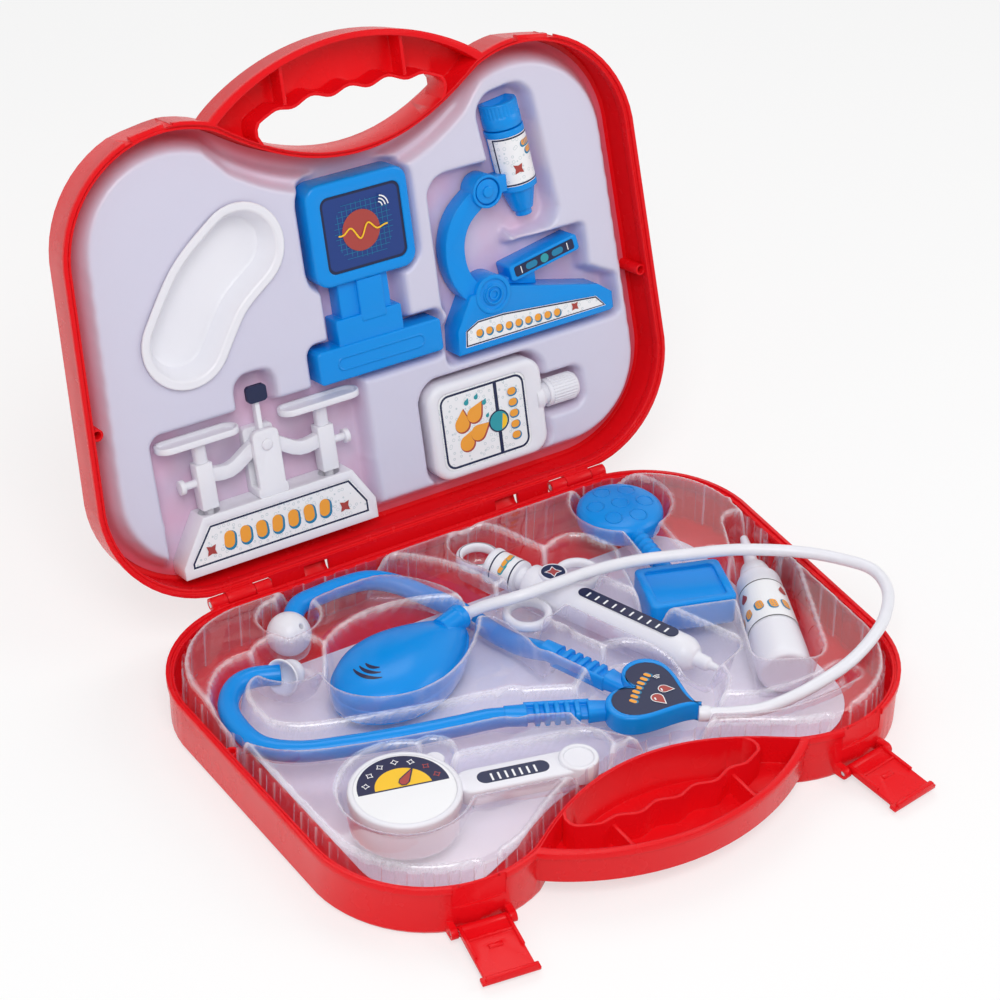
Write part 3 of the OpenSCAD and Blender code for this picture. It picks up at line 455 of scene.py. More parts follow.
class Workshop:
    """Keeps one copy of every finish and print colour, made when first asked for."""

    def __init__(self) -> None:
        """Starts with no material made."""
        self.made: dict[str, bpy.types.Material] = {}
        self.recipes = {
            # case shells: red polypropylene, bright and glossy
            Slot.RED: MouldedPlastic("red_moulded_pp", "E8101A", "D40812", roughness=0.26, corner_mm=0.6, sheen=0.18),
            # toys: sky blue polypropylene
            Slot.BLUE: MouldedPlastic("blue_moulded_pp", "0092E8", "007BD2", roughness=0.24, corner_mm=0.7),
            # toys: white polypropylene with a cool cast
            Slot.WHITE: MouldedPlastic("white_moulded_pp", "EBEBF1", "E0DEE9", roughness=0.3, corner_mm=0.6),
            Slot.CLEAR: ClearSheet(),
            Slot.PALE: FormedSheet(),
            # hinge and latch pins: bright drawn wire, grain along the pin
            Slot.STEEL: PlainSkin("drawn_steel_wire", "C6C7CA", 0.28, metallic=1.0, grain_mm=0.3, stretch=12.0),
            # base floor: white coated card, slightly fibrous
            Slot.CARD: PlainSkin("coated_card", "FAF6FC", 0.55, grain_mm=1.4, grain_depth_mm=0.02),
            # hose: soft pale vinyl, smooth with a slight cling
            Slot.HOSE: PlainSkin("pale_soft_vinyl", "E9E9F0", 0.34, grain_mm=6.0, grain_depth_mm=0.01),
            Slot.NAVY_PRINT: GlossSticker("navy_sticker", Ink.NAVY.value),
            Slot.WHITE_PRINT: GlossSticker("white_sticker", Ink.WHITE.value, speck="9DB6BC"),
        }

    def finish(self, slot: Slot) -> bpy.types.Material:
        """Returns the material of a slot."""
        if slot.value not in self.made:
            self.made[slot.value] = self.recipes[slot].build()
        return self.made[slot.value]

    def ink(self, ink: Ink) -> bpy.types.Material:
        """Returns the material of a print colour."""
        key = "ink_" + ink.name.lower()
        if key not in self.made:
            self.made[key] = GlossSticker(key, ink.value).build()
        return self.made[key]


# ---------------------------------------------------------------- frames and outlines


@dataclass(frozen=True)
class CaseFrame:
    """The case's driving sizes and its two working frames."""

    width: float = 300.0
    hinge_y: float = 110.0
    base_h: float = 25.5
    lid_h: float = 22.0
    lid_open: float = 104.0
    wall: float = 1.8
    clear_top: float = 30.0
    lid_plateau: float = -8.5
    pocket_w: float = -19.6
    tool_w: float = -6.0
    back_r: float = 53.0
    back_gap: float = 3.6
    lobe_r: float = 55.8
    lobe_s: float = 163.5
    lobe_end: float = 115.0
    dip_s: float = 189.0

    @property
    def base(self) -> Matrix:
        """Base frame in millimetres to the row's frame in metres."""
        return Matrix.Scale(MM, 4) @ Matrix.Translation((0, self.hinge_y, 0))

    @property
    def lid(self) -> Matrix:
        """Lid frame in millimetres to the row's frame in metres."""
        turn = Matrix.Rotation(math.radians(180 - self.lid_open), 4, "X")
        return Matrix.Scale(MM, 4) @ Matrix.Translation((0, self.hinge_y, self.base_h)) @ turn

    @staticmethod
    def arc(cx: float, cy: float, r: float, a0: float, a1: float, n: int) -> list[tuple[float, float]]:
        """Points of an arc, angles in degrees, n steps."""
        turns = [math.radians(a0 + (a1 - a0) * i / n) for i in range(n + 1)]
        return [(cx + r * math.cos(a), cy + r * math.sin(a)) for a in turns]

    def outline(self, inset: float = 0.0, dip: float = 0.0, notch: float = 0.0) -> list[tuple[float, float]]:
        """The case seen from above with the hinge along x.

        Args:
            inset: how far the round stretches move in.
            dip: how far the stretch at the handle moves in.
            notch: radius of the notches round the two bosses beside the tray.

        Returns:
            Points in order round the outline, x and distance from the hinge.
        """
        half, end = self.width / 2, math.radians(self.lobe_end)
        lobe_x = half - 5.35 - self.lobe_r
        dip_x = lobe_x + self.lobe_r * math.cos(end)
        rise = self.lobe_s + self.lobe_r * math.sin(end) - self.dip_s
        right = self.arc(half - self.back_r, self.back_gap + self.back_r, self.back_r - inset, -90, 0, 20)
        if notch:
            right += self.arc(half - 6.6, 93, notch, -90, -270, 8)
        right += self.arc(lobe_x, self.lobe_s, self.lobe_r - inset, 0, self.lobe_end, 28)
        right += [(dip_x * k / 12, self.dip_s + rise * (k / 12) ** 2 - dip) for k in range(11, 0, -1)]
        return right + [(0.0, self.dip_s - dip)] + [(-x, s) for x, s in reversed(right)]


def rounded_rect(x: float, y: float, r: float, steps: int = 6) -> list[tuple[float, float]]:
    """A rectangle x by y round the origin with corners of radius r."""
    a, b, arc = x / 2 - r, y / 2 - r, CaseFrame.arc
    return (
        arc(a, b, r, 0, 90, steps) + arc(-a, b, r, 90, 180, steps)
        + arc(-a, -b, r, 180, 270, steps) + arc(a, -b, r, 270, 360, steps)
    )


def circle(r: float, n: int = 48, cx: float = 0.0, cy: float = 0.0) -> list[tuple[float, float]]:
    """n points of a circle."""
    return CaseFrame.arc(cx, cy, r, 0, 360 - 360 / n, n - 1)


def heart(k: float, n: int = 72) -> list[tuple[float, float]]:
    """The heart outline of the stethoscope's joint, k its half width."""
    turns = [2 * math.pi * i / n for i in range(n)]
    return [
        (
            k * math.sin(a) ** 3,
            k * (13 * math.cos(a) - 5 * math.cos(2 * a) - 2 * math.cos(3 * a) - math.cos(4 * a)) / 16,
        )
        for a in turns
    ]


def moved(points: Flat, dx: float = 0.0, dy: float = 0.0, turn: float = 0.0, grow: float = 1.0) -> list[tuple[float, float]]:
    """Turns (degrees), scales and shifts flat points."""
    c, s = math.cos(math.radians(turn)) * grow, math.sin(math.radians(turn)) * grow
    return [(dx + c * x - s * y, dy + s * x + c * y) for x, y in points]


def inset_of(points: Flat, d: float) -> list[tuple[float, float]]:
    """Moves a counter-clockwise outline inwards by d, along its corners' bisectors."""
    p = np.array(points, float)
    before, after = p - np.roll(p, 1, 0), np.roll(p, -1, 0) - p
    before /= np.maximum(np.linalg.norm(before, axis=1, keepdims=True), 1e-9)
    after /= np.maximum(np.linalg.norm(after, axis=1, keepdims=True), 1e-9)
    n0, n1 = np.c_[-before[:, 1], before[:, 0]], np.c_[-after[:, 1], after[:, 0]]
    mid = n0 + n1
    mid /= np.maximum((mid * n1).sum(1, keepdims=True), 0.5)
    return [tuple(q) for q in p + d * mid]


def smooth_route(points: Sequence[Sequence[float]], steps: int) -> list[Vector]:
    """The Catmull-Rom curve through given points, as the CAD source draws it."""
    p, last = [Vector(q) for q in points], len(points) - 1
    out: list[Vector] = []
    for i in range(last):
        a, b, c, d = p[max(i - 1, 0)], p[i], p[i + 1], p[min(i + 2, last)]
        for k in range(steps):
            t = k / steps
            out.append(
                0.5 * (2 * b + (c - a) * t + (2 * a - 5 * b + 4 * c - d) * t * t + (3 * b - a - 3 * c + d) * t**3)
            )
    return out + [p[last]]


# ---------------------------------------------------------------- mesh building


class Form:
    """A mesh gathered from lofts in millimetres, then placed and handed to the frame."""

    def __init__(self) -> None:
        """Starts empty."""
        self.points: list[Vector] = []
        self.faces: list[tuple[int, ...]] = []
        self.inks: list[int] = []
        self.ink = 0

    def loft(self, rings: Sequence[Sequence[Sequence[float]]], caps: bool = True, closed: bool = False) -> Form:
        """Skins rings of equal counts.

        Args:
            rings: rings of 3D points, each counter-clockwise seen from the last ring's side.
            caps: whether the first and last rings are closed by a face.
            closed: whether the last ring joins the first.

        Returns:
            This form.
        """
        n, start = len(rings[0]), len(self.points)
        for ring in rings:
            self.points += [Vector(p) for p in ring]
        span = len(rings) if closed else len(rings) - 1
        for i in range(span):
            a, b = start + i * n, start + ((i + 1) % len(rings)) * n
            for k in range(n):
                j = (k + 1) % n
                self.add_face((a + k, a + j, b + j, b + k))
        if caps and not closed:
            self.add_face(tuple(start + k for k in reversed(range(n))))
            self.add_face(tuple(start + (len(rings) - 1) * n + k for k in range(n)))
        return self

    def add_face(self, corners: tuple[int, ...]) -> None:
        """Adds one face in the present ink."""
        self.faces.append(corners)
        self.inks.append(self.ink)

    def prism(self, outline: Flat, z0: float, z1: float, top: float = 0.8, bottom: float = 0.3,
              recess: tuple[Flat, float] | None = None) -> Form:
        """An extruded outline with rounded edges.

        Args:
            outline: counter-clockwise points.
            z0: lower face.
            z1: upper face.
            top: radius of the upper edge.
            bottom: radius of the lower edge.
            recess: an inner outline of as many points, and how deep it is sunk.

        Returns:
            This form.
        """
        rings = []
        for k in range(4):
            a = math.pi / 2 * k / 3
            rings.append([(x, y, z0 + bottom * (1 - math.sin(a))) for x, y in inset_of(outline, bottom * (1 - math.cos(a)))])
        rings.reverse()
        rings = [r for r in reversed(rings)][::-1]
        low = [[(x, y, z0 + bottom * (1 - math.cos(a))) for x, y in inset_of(outline, bottom * (1 - math.sin(a)))]
               for a in [math.pi / 2 * k / 3 for k in range(4)]]
        high = [[(x, y, z1 - top * (1 - math.sin(a))) for x, y in inset_of(outline, top * (1 - math.cos(a)))]
                for a in [math.pi / 2 * k / 4 for k in range(5)]]
        rings = low + high
        if recess:
            inner, depth = recess
            soft = min(0.5, depth / 2)
            rings.append([(x, y, z1) for x, y in inset_of(inner, -soft)])
            rings.append([(x, y, z1 - soft * 0.4) for x, y in inset_of(inner, -soft * 0.2)])
            rings.append([(x, y, z1 - soft) for x, y in inner])
            rings.append([(x, y, z1 - depth) for x, y in inner])
        return self.loft(rings)

    def band(self, outer: Flat, inner: Flat, z0: float, z1: float, edge: float = 0.5) -> Form:
        """A ring between two outlines of as many points, with rounded edges."""
        rings = []
        for k in range(4):
            a = math.pi / 2 * k / 3
            rings.append([(x, y, z0 + edge * (1 - math.sin(a))) for x, y in inset_of(outer, edge * (1 - math.cos(a)))])
        rings = rings[::-1]
        for k in range(4):
            a = math.pi / 2 * k / 3
            rings.append([(x, y, z1 - edge * (1 - math.sin(a))) for x, y in inset_of(outer, edge * (1 - math.cos(a)))])
        for k in range(3, -1, -1):
            a = math.pi / 2 * k / 3
            rings.append([(x, y, z1 - edge * (1 - math.sin(a))) for x, y in inset_of(inner, -edge * (1 - math.cos(a)))])
        for k in range(4):
            a = math.pi / 2 * k / 3
            rings.append([(x, y, z0 + edge * (1 - math.sin(a))) for x, y in inset_of(inner, -edge * (1 - math.cos(a)))])
        return self.loft(rings, closed=True)

    def turned(self, profile: Flat, place: Matrix | None = None, sides: int = 48, corner: float = 0.5) -> Form:
        """A body of revolution round local z.

        Args:
            profile: radius and height from the lower end to the upper, starting and ending at radius 0.
            place: where it goes.
            sides: how many facets round.
            corner: radius that each corner of the profile is rounded to.

        Returns:
            This form.
        """
        soft = round_corners(profile, corner)
        place = place or Matrix.Identity(4)
        inner = [(max(r, 0.002), z) for r, z in soft]
        rings = [
            [place @ Vector((r * math.cos(a), r * math.sin(a), z)) for a in [2 * math.pi * k / sides for k in range(sides)]]
            for r, z in inner
        ]
        return self.loft(rings)

    def tube(self, path: Sequence[Vector], radius: float | Callable[[float], float], sides: int = 20,
             flatten: float = 1.0) -> Form:
        """A round tube along a path, its frame carried along without twist.

        Args:
            path: centreline points.
            radius: one radius, or a function of the share of the path.
            sides: how many facets round.
            flatten: width over height of its section.

        Returns:
            This form.
        """
        rings, last = [], len(path) - 1
        side = None
        for i, p in enumerate(path):
            t = (path[min(i + 1, last)] - path[max(i - 1, 0)]).normalized()
            side = t.cross(Vector((0, 0, 1))) if side is None else side - t * side.dot(t)
            side.normalize()
            up = side.cross(t)
            r = radius(i / last) if callable(radius) else radius
            turns = [2 * math.pi * k / sides for k in range(sides)]
            rings.append([p + side * (r * flatten * math.cos(a)) - up * (r * math.sin(a)) for a in turns])
        return self.loft([ring[::-1] for ring in rings])

    def flat(self, outline: Flat, z: float) -> Form:
        """One flat face."""
        start = len(self.points)
        self.points += [Vector((x, y, z)) for x, y in outline]
        self.add_face(tuple(range(start, start + len(outline))))
        return self

    def ring(self, outer: Flat, inner: Flat, z: float) -> Form:
        """A flat ring between two outlines of as many points."""
        start, n = len(self.points), len(outer)
        self.points += [Vector((x, y, z)) for x, y in list(outer) + list(inner)]
        for k in range(n):
            j = (k + 1) % n
            self.add_face((start + k, start + j, start + n + j, start + n + k))
        return self

    def warped(self, rule: Callable[[Vector], Vector]) -> Form:
        """Moves every point by a rule."""
        self.points = [rule(p) for p in self.points]
        return self

    def mesh(self, name: str, place: Matrix, smooth_deg: float = 38.0) -> bpy.types.Mesh:
        """Makes the Blender mesh, placed in metres.

        Args:
            name: the mesh's name.
            place: working frame to the row's frame.
            smooth_deg: edges sharper than this stay hard.

        Returns:
            The mesh.
        """
        mesh = bpy.data.meshes.new(name)
        mesh.from_pydata([place @ p for p in self.points], [], self.faces)
        mesh.polygons.foreach_set("material_index", self.inks)
        finish_mesh(mesh, smooth_deg)
        return mesh


def round_corners(profile: Flat, radius: float) -> list[tuple[float, float]]:
    """Replaces each inner corner of a polyline by a small arc of three points."""
    pts, out = [Vector(p) for p in profile], [tuple(profile[0])]
    for a, b, c in zip(pts, pts[1:], pts[2:]):
        u, v = a - b, c - b
        cut = min(radius, u.length * 0.45, v.length * 0.45)
        if cut < 1e-4 or u.angle(v, math.pi) > math.radians(176):
            out.append(tuple(b))
            continue
        p, q = b + u.normalized() * cut, b + v.normalized() * cut
        out += [tuple(p), tuple((p + q) / 4 + b / 2), tuple(q)]
    return out + [tuple(profile[-1])]


def turn_out(work: bmesh.types.BMesh) -> None:
    """Turns each closed part whose volume comes out negative."""
    work.faces.ensure_lookup_table()
    seen: set[int] = set()
    for start in range(len(work.faces)):
        if start in seen:
            continue
        seen.add(start)
        part, queue, whole = [], [work.faces[start]], True
        while queue:
            face = queue.pop()
            part.append(face)
            for edge in face.edges:
                whole = whole and len(edge.link_faces) == 2
                for other in edge.link_faces:
                    if other.index not in seen:
                        seen.add(other.index)
                        queue.append(other)
        middle = part[0].verts[0].co.copy()
        volume = sum((f.verts[0].co - middle).dot(f.normal) * f.calc_area() for f in part)
        if whole and volume < 0:
            for face in part:
                face.normal_flip()


def finish_mesh(mesh: bpy.types.Mesh, smooth_deg: float) -> None:
    """Merges doubles, turns faces outwards and shades smooth up to an angle."""
    work = bmesh.new()
    work.from_mesh(mesh)
    bmesh.ops.remove_doubles(work, verts=work.verts, dist=2e-7)
    bmesh.ops.recalc_face_normals(work, faces=work.faces)
    turn_out(work)
    work.to_mesh(mesh)
    work.free()
    mesh.shade_smooth()
    mesh.set_sharp_from_angle(angle=math.radians(smooth_deg))


def hand_over(mesh: bpy.types.Mesh, body: Body, materials: Iterable[bpy.types.Material],
              replaces: Sequence[str] = ()) -> bpy.types.Object:
    """Makes a mesh a piece of the case.

    Args:
        mesh: a placed mesh.
        body: the body that carries it.
        materials: its materials in order.
        replaces: CAD nodes that it stands for.

    Returns:
        The piece.
    """
    piece = bpy.data.objects.new(mesh.name, mesh)
    bpy.context.scene.collection.objects.link(piece)
    for material in materials:
        mesh.materials.append(material)
    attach(piece, body.value)
    if replaces:
        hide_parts(*replaces)
    log.info("%s: %d faces on %s", piece.name, len(mesh.polygons), body.value)
    return piece


@dataclass
class Assembly:
    """What every sub-assembly shares: the workshop, the case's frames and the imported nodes."""

    shop: Workshop
    case: CaseFrame
    nodes: dict[str, bpy.types.Object]

    def dress(self, slot: Slot, *names: str) -> None:
        """Gives CAD nodes the finish of a slot."""
        for name in names:
            mesh = self.nodes[name].data
            mesh.materials.clear()
            mesh.materials.append(self.shop.finish(slot))

    def soften(self, slot: Slot, body: Body, edge: float, *names: str) -> None:
        """Stands in for CAD nodes with copies whose edges are rounded.

        Args:
            slot: their finish.
            body: the body that carries them.
            edge: radius of the edges in millimetres.
            names: the nodes.
        """
        for name in names:
            work = bmesh.new()
            work.from_mesh(self.nodes[name].data)
            bmesh.ops.remove_doubles(work, verts=work.verts, dist=1e-6)
            bmesh.ops.dissolve_limit(work, angle_limit=math.radians(1.0), verts=work.verts, edges=work.edges)
            sharp = [e for e in work.edges if len(e.link_faces) == 2 and e.calc_face_angle(0) > math.radians(32)]
            bmesh.ops.bevel(
                work, geom=sharp, offset=edge * MM, offset_type="OFFSET", segments=2, profile=0.5,
                affect="EDGES", clamp_overlap=True,
            )
            mesh = bpy.data.meshes.new(name + "_moulded")
            work.to_mesh(mesh)
            work.free()
            mesh.shade_smooth()
            mesh.set_sharp_from_angle(angle=math.radians(40))
            hand_over(mesh, body, [self.shop.finish(slot)], [name])

    def piece(self, form: Form, name: str, body: Body, slot: Slot, place: Matrix, replaces: Sequence[str] = (),
              smooth_deg: float = 38.0) -> bpy.types.Object:
        """Places a form and hands it over in the finish of its slot."""
        return hand_over(form.mesh(name, place, smooth_deg), body, [self.shop.finish(slot)], replaces)


# ---------------------------------------------------------------- printed stickers


@dataclass
class Sticker:
    """Artwork of a sticker: flat shapes in order, each in one ink, a hair above the last."""

    name: str
    body: Body
    slot: Slot = Slot.WHITE_PRINT
    shapes: list[tuple[Ink, Flat, Flat | None]] = field(default_factory=list)
    lift: float = 0.04

    def fill(self, ink: Ink, outline: Flat) -> Sticker:
        """Adds a filled shape."""
        self.shapes.append((ink, outline, None))
        return self

    def line(self, ink: Ink, outline: Flat, width: float) -> Sticker:
        """Adds a closed line just inside an outline."""
        self.shapes.append((ink, outline, inset_of(outline, width)))
        return self

    def stroke(self, ink: Ink, points: Flat, width: float) -> Sticker:
        """Adds an open line through points."""
        p = [Vector(q) for q in points]
        for a, b in zip(p, p[1:]):
            t = (b - a).normalized()
            n, e = Vector((-t.y, t.x)) * width / 2, t * width / 3
            self.fill(ink, [tuple(a - e - n), tuple(b + e - n), tuple(b + e + n), tuple(a - e + n)])
        return self

    def print(self, shop: Workshop, spot: Callable[[float, float, float], Vector], place: Matrix,
              fine: float = 0.0) -> bpy.types.Object:
        """Makes the piece.

        Args:
            shop: where the inks come from.
            spot: flat x, flat y and height to a point of the working frame, all in millimetres.
            place: working frame to the row's frame.
            fine: longest edge in millimetres, for a sticker on a curved wall; 0 leaves shapes whole.

        Returns:
            The piece.
        """
        inks = list(dict.fromkeys(s[0] for s in self.shapes))
        form = Form()
        for i, (ink, outline, inner) in enumerate(self.shapes):
            form.ink = inks.index(ink)
            z = self.lift * (1 + i * 0.35)
            if inner is None:
                form.flat(outline, z)
            else:
                form.ring(outline, inner, z)
        mesh = bpy.data.meshes.new(self.name)
        mesh.from_pydata(form.points, [], form.faces)
        mesh.polygons.foreach_set("material_index", form.inks)
        work = bmesh.new()
        work.from_mesh(mesh)
        bmesh.ops.triangulate(work, faces=work.faces)
        if fine:
            for _ in range(6):
                long = [e for e in work.edges if e.calc_length() > fine]
                if not long:
                    break
                bmesh.ops.subdivide_edges(work, edges=long, cuts=1)
                bmesh.ops.triangulate(work, faces=work.faces)
        middles = [f.calc_center_median() for f in work.faces]
        for v in work.verts:
            v.co = place @ spot(*v.co)
        work.normal_update()
        # a flat print has no inside, so each face is turned to look away from what it is stuck on
        for face, m in zip(work.faces, middles):
            if face.normal.dot(place @ spot(m.x, m.y, m.z + 1) - place @ spot(m.x, m.y, m.z)) < 0:
                face.normal_flip()
        work.to_mesh(mesh)
        work.free()
        return hand_over(mesh, self.body, [shop.ink(k) for k in inks])


def pill(x: float, y: float, length: float, width: float, turn: float = 0.0) -> list[tuple[float, float]]:
    """A rounded bar centred at x, y."""
    return moved(rounded_rect(length, width, min(length, width) / 2 - 0.01, 4), x, y, turn)


def drop(x: float, y: float, size: float, turn: float = 0.0) -> list[tuple[float, float]]:
    """A water drop with its point up."""
    body = [(size * 0.5 * math.sin(t), -size * 0.5 * math.cos(t)) for t in [math.pi * (k - 8) / 12 for k in range(17)]]
    return moved(body + [(0.0, size * 0.95)], x, y, turn)


def star(x: float, y: float, size: float, arms: int = 5, inner: float = 0.48, turn: float = 90.0) -> list[tuple[float, float]]:
    """A blunt star."""
    pts = [
        (size * (1 if k % 2 == 0 else inner) * math.cos(math.pi * k / arms),
         size * (1 if k % 2 == 0 else inner) * math.sin(math.pi * k / arms))
        for k in range(2 * arms)
    ]
    return moved(pts, x, y, turn)


# ---------------------------------------------------------------- repeats by geometry nodes


def repeat_mesh(name: str, round_them: bool, material: bpy.types.Material, **sizes: float) -> bpy.types.Mesh:
    """Runs a small node tree that repeats a bar along a line or a rib round a circle.

    Args:
        name: the mesh's name.
        round_them: ribs round a circle if true, bars along x if false.
        material: what they are made of.
        sizes: the tree's inputs by name: Count, Span, Width, Length and Height, in metres.

    Returns:
        The realized mesh.
    """
    tree = bpy.data.node_groups.new(name + "_tree", "GeometryNodeTree")
    kinds = {"Count": "NodeSocketInt", "Span": "NodeSocketFloat", "Width": "NodeSocketFloat",
             "Length": "NodeSocketFloat", "Height": "NodeSocketFloat"}
    sockets = {k: tree.interface.new_socket(name=k, in_out="INPUT", socket_type=v) for k, v in kinds.items()}
    tree.interface.new_socket(name="Geometry", in_out="OUTPUT", socket_type="NodeSocketGeometry")
    given = add_node(tree, "NodeGroupInput").outputs
    if round_them:
        where = add_node(tree, "GeometryNodeMeshCircle", {"Vertices": given["Count"], "Radius": given["Span"]})
        shape = add_node(
            tree, "GeometryNodeMeshCylinder", {"Vertices": 8, "Radius": given["Width"], "Depth": given["Length"]}
        )
    else:
        step = add_node(tree, "ShaderNodeMath", {0: given["Count"], 1: -1.0}, operation="ADD")
        gap = add_node(tree, "ShaderNodeMath", {0: given["Span"], 1: step.outputs[0]}, operation="DIVIDE")
        along = add_node(tree, "ShaderNodeCombineXYZ", {"X": gap.outputs[0]})
        where = add_node(tree, "GeometryNodeMeshLine", {"Count": given["Count"], "Offset": along.outputs[0]})
        box = add_node(tree, "ShaderNodeCombineXYZ", {"X": given["Width"], "Y": given["Length"], "Z": given["Height"]})
        shape = add_node(tree, "GeometryNodeMeshCube", {"Size": box.outputs[0]})
    put = add_node(
        tree, "GeometryNodeInstanceOnPoints", {"Points": where.outputs["Mesh"], "Instance": shape.outputs["Mesh"]}
    )
    real = add_node(tree, "GeometryNodeRealizeInstances", {"Geometry": put.outputs["Instances"]})
    dressed = add_node(tree, "GeometryNodeSetMaterial", {"Geometry": real.outputs[0], "Material": material})
    add_node(tree, "NodeGroupOutput", {"Geometry": dressed.outputs[0]})
    holder = bpy.data.objects.new(name + "_maker", bpy.data.meshes.new(name + "_seed"))
    bpy.context.scene.collection.objects.link(holder)
    modifier = holder.modifiers.new("repeat", "NODES")
    modifier.node_group = tree
    for key, value in sizes.items():
        modifier[sockets[key].identifier] = value
    graph = bpy.context.evaluated_depsgraph_get()
    mesh = bpy.data.meshes.new_from_object(holder.evaluated_get(graph))
    mesh.name = name
    bpy.data.objects.remove(holder)
    return mesh


def repeat_piece(shop: Workshop, name: str, round_them: bool, body: Body, slot: Slot, material: bpy.types.Material,
                 place: Matrix, **sizes: float) -> bpy.types.Object:
    """Makes a repeat, places it and hands it over. Sizes are in millimetres."""
    metres = {k: v if k == "Count" else v * MM for k, v in sizes.items()}
    mesh = repeat_mesh(name, round_them, material, **metres)
    mesh.transform(place @ Matrix.Scale(1 / MM, 4))
    mesh.materials.clear()
    finish_mesh(mesh, 38)
    return hand_over(mesh, body, [material])


# ---------------------------------------------------------------- shells and trays


@dataclass
class Shells(Assembly):
    """Both halves of the case, their latches, pins and the floor card, which leaves a red margin."""

    card_inset: float = 22.0
    card_back: float = 33.0
    rim_step: float = 2.8

    def build(self) -> None:
        """Dresses the CAD nodes."""
        self.soften(Slot.RED, Body.BASE, 0.4, "base_shell")
        self.soften(Slot.RED, Body.LID, 0.4, "lid_shell")
        self.soften(Slot.RED, Body.LEFT_LATCH, 0.4, "left_latch")
        self.soften(Slot.RED, Body.RIGHT_LATCH, 0.4, "right_latch")
        self.dress(Slot.STEEL, "hinge_pins", "latch_pins")
        for body, place, top in ((Body.BASE, self.case.base, self.case.base_h), (Body.LID, self.case.lid, 0.0)):
            sign = -1 if body is Body.BASE else 1
            outer, inner = ([(x, sign * s) for x, s in self.case.outline(d, d)][::sign] for d in (1.6, self.rim_step))
            ledge = Form().band(outer, inner, top - 6.0, top - 1.3, 0.3)
            self.piece(ledge, f"{body.value}_rim_step", body, Slot.RED, place)
        low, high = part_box("floor_card")
        side = [(x, -max(s, self.card_back)) for x, s in self.case.outline(self.card_inset, self.card_inset)]
        card = Form().prism(side[::-1], low[2] / MM, high[2] / MM, 0.1, 0.1)
        self.piece(card, "floor_card_cut", Body.BASE, Slot.CARD, self.case.base, ["floor_card"])


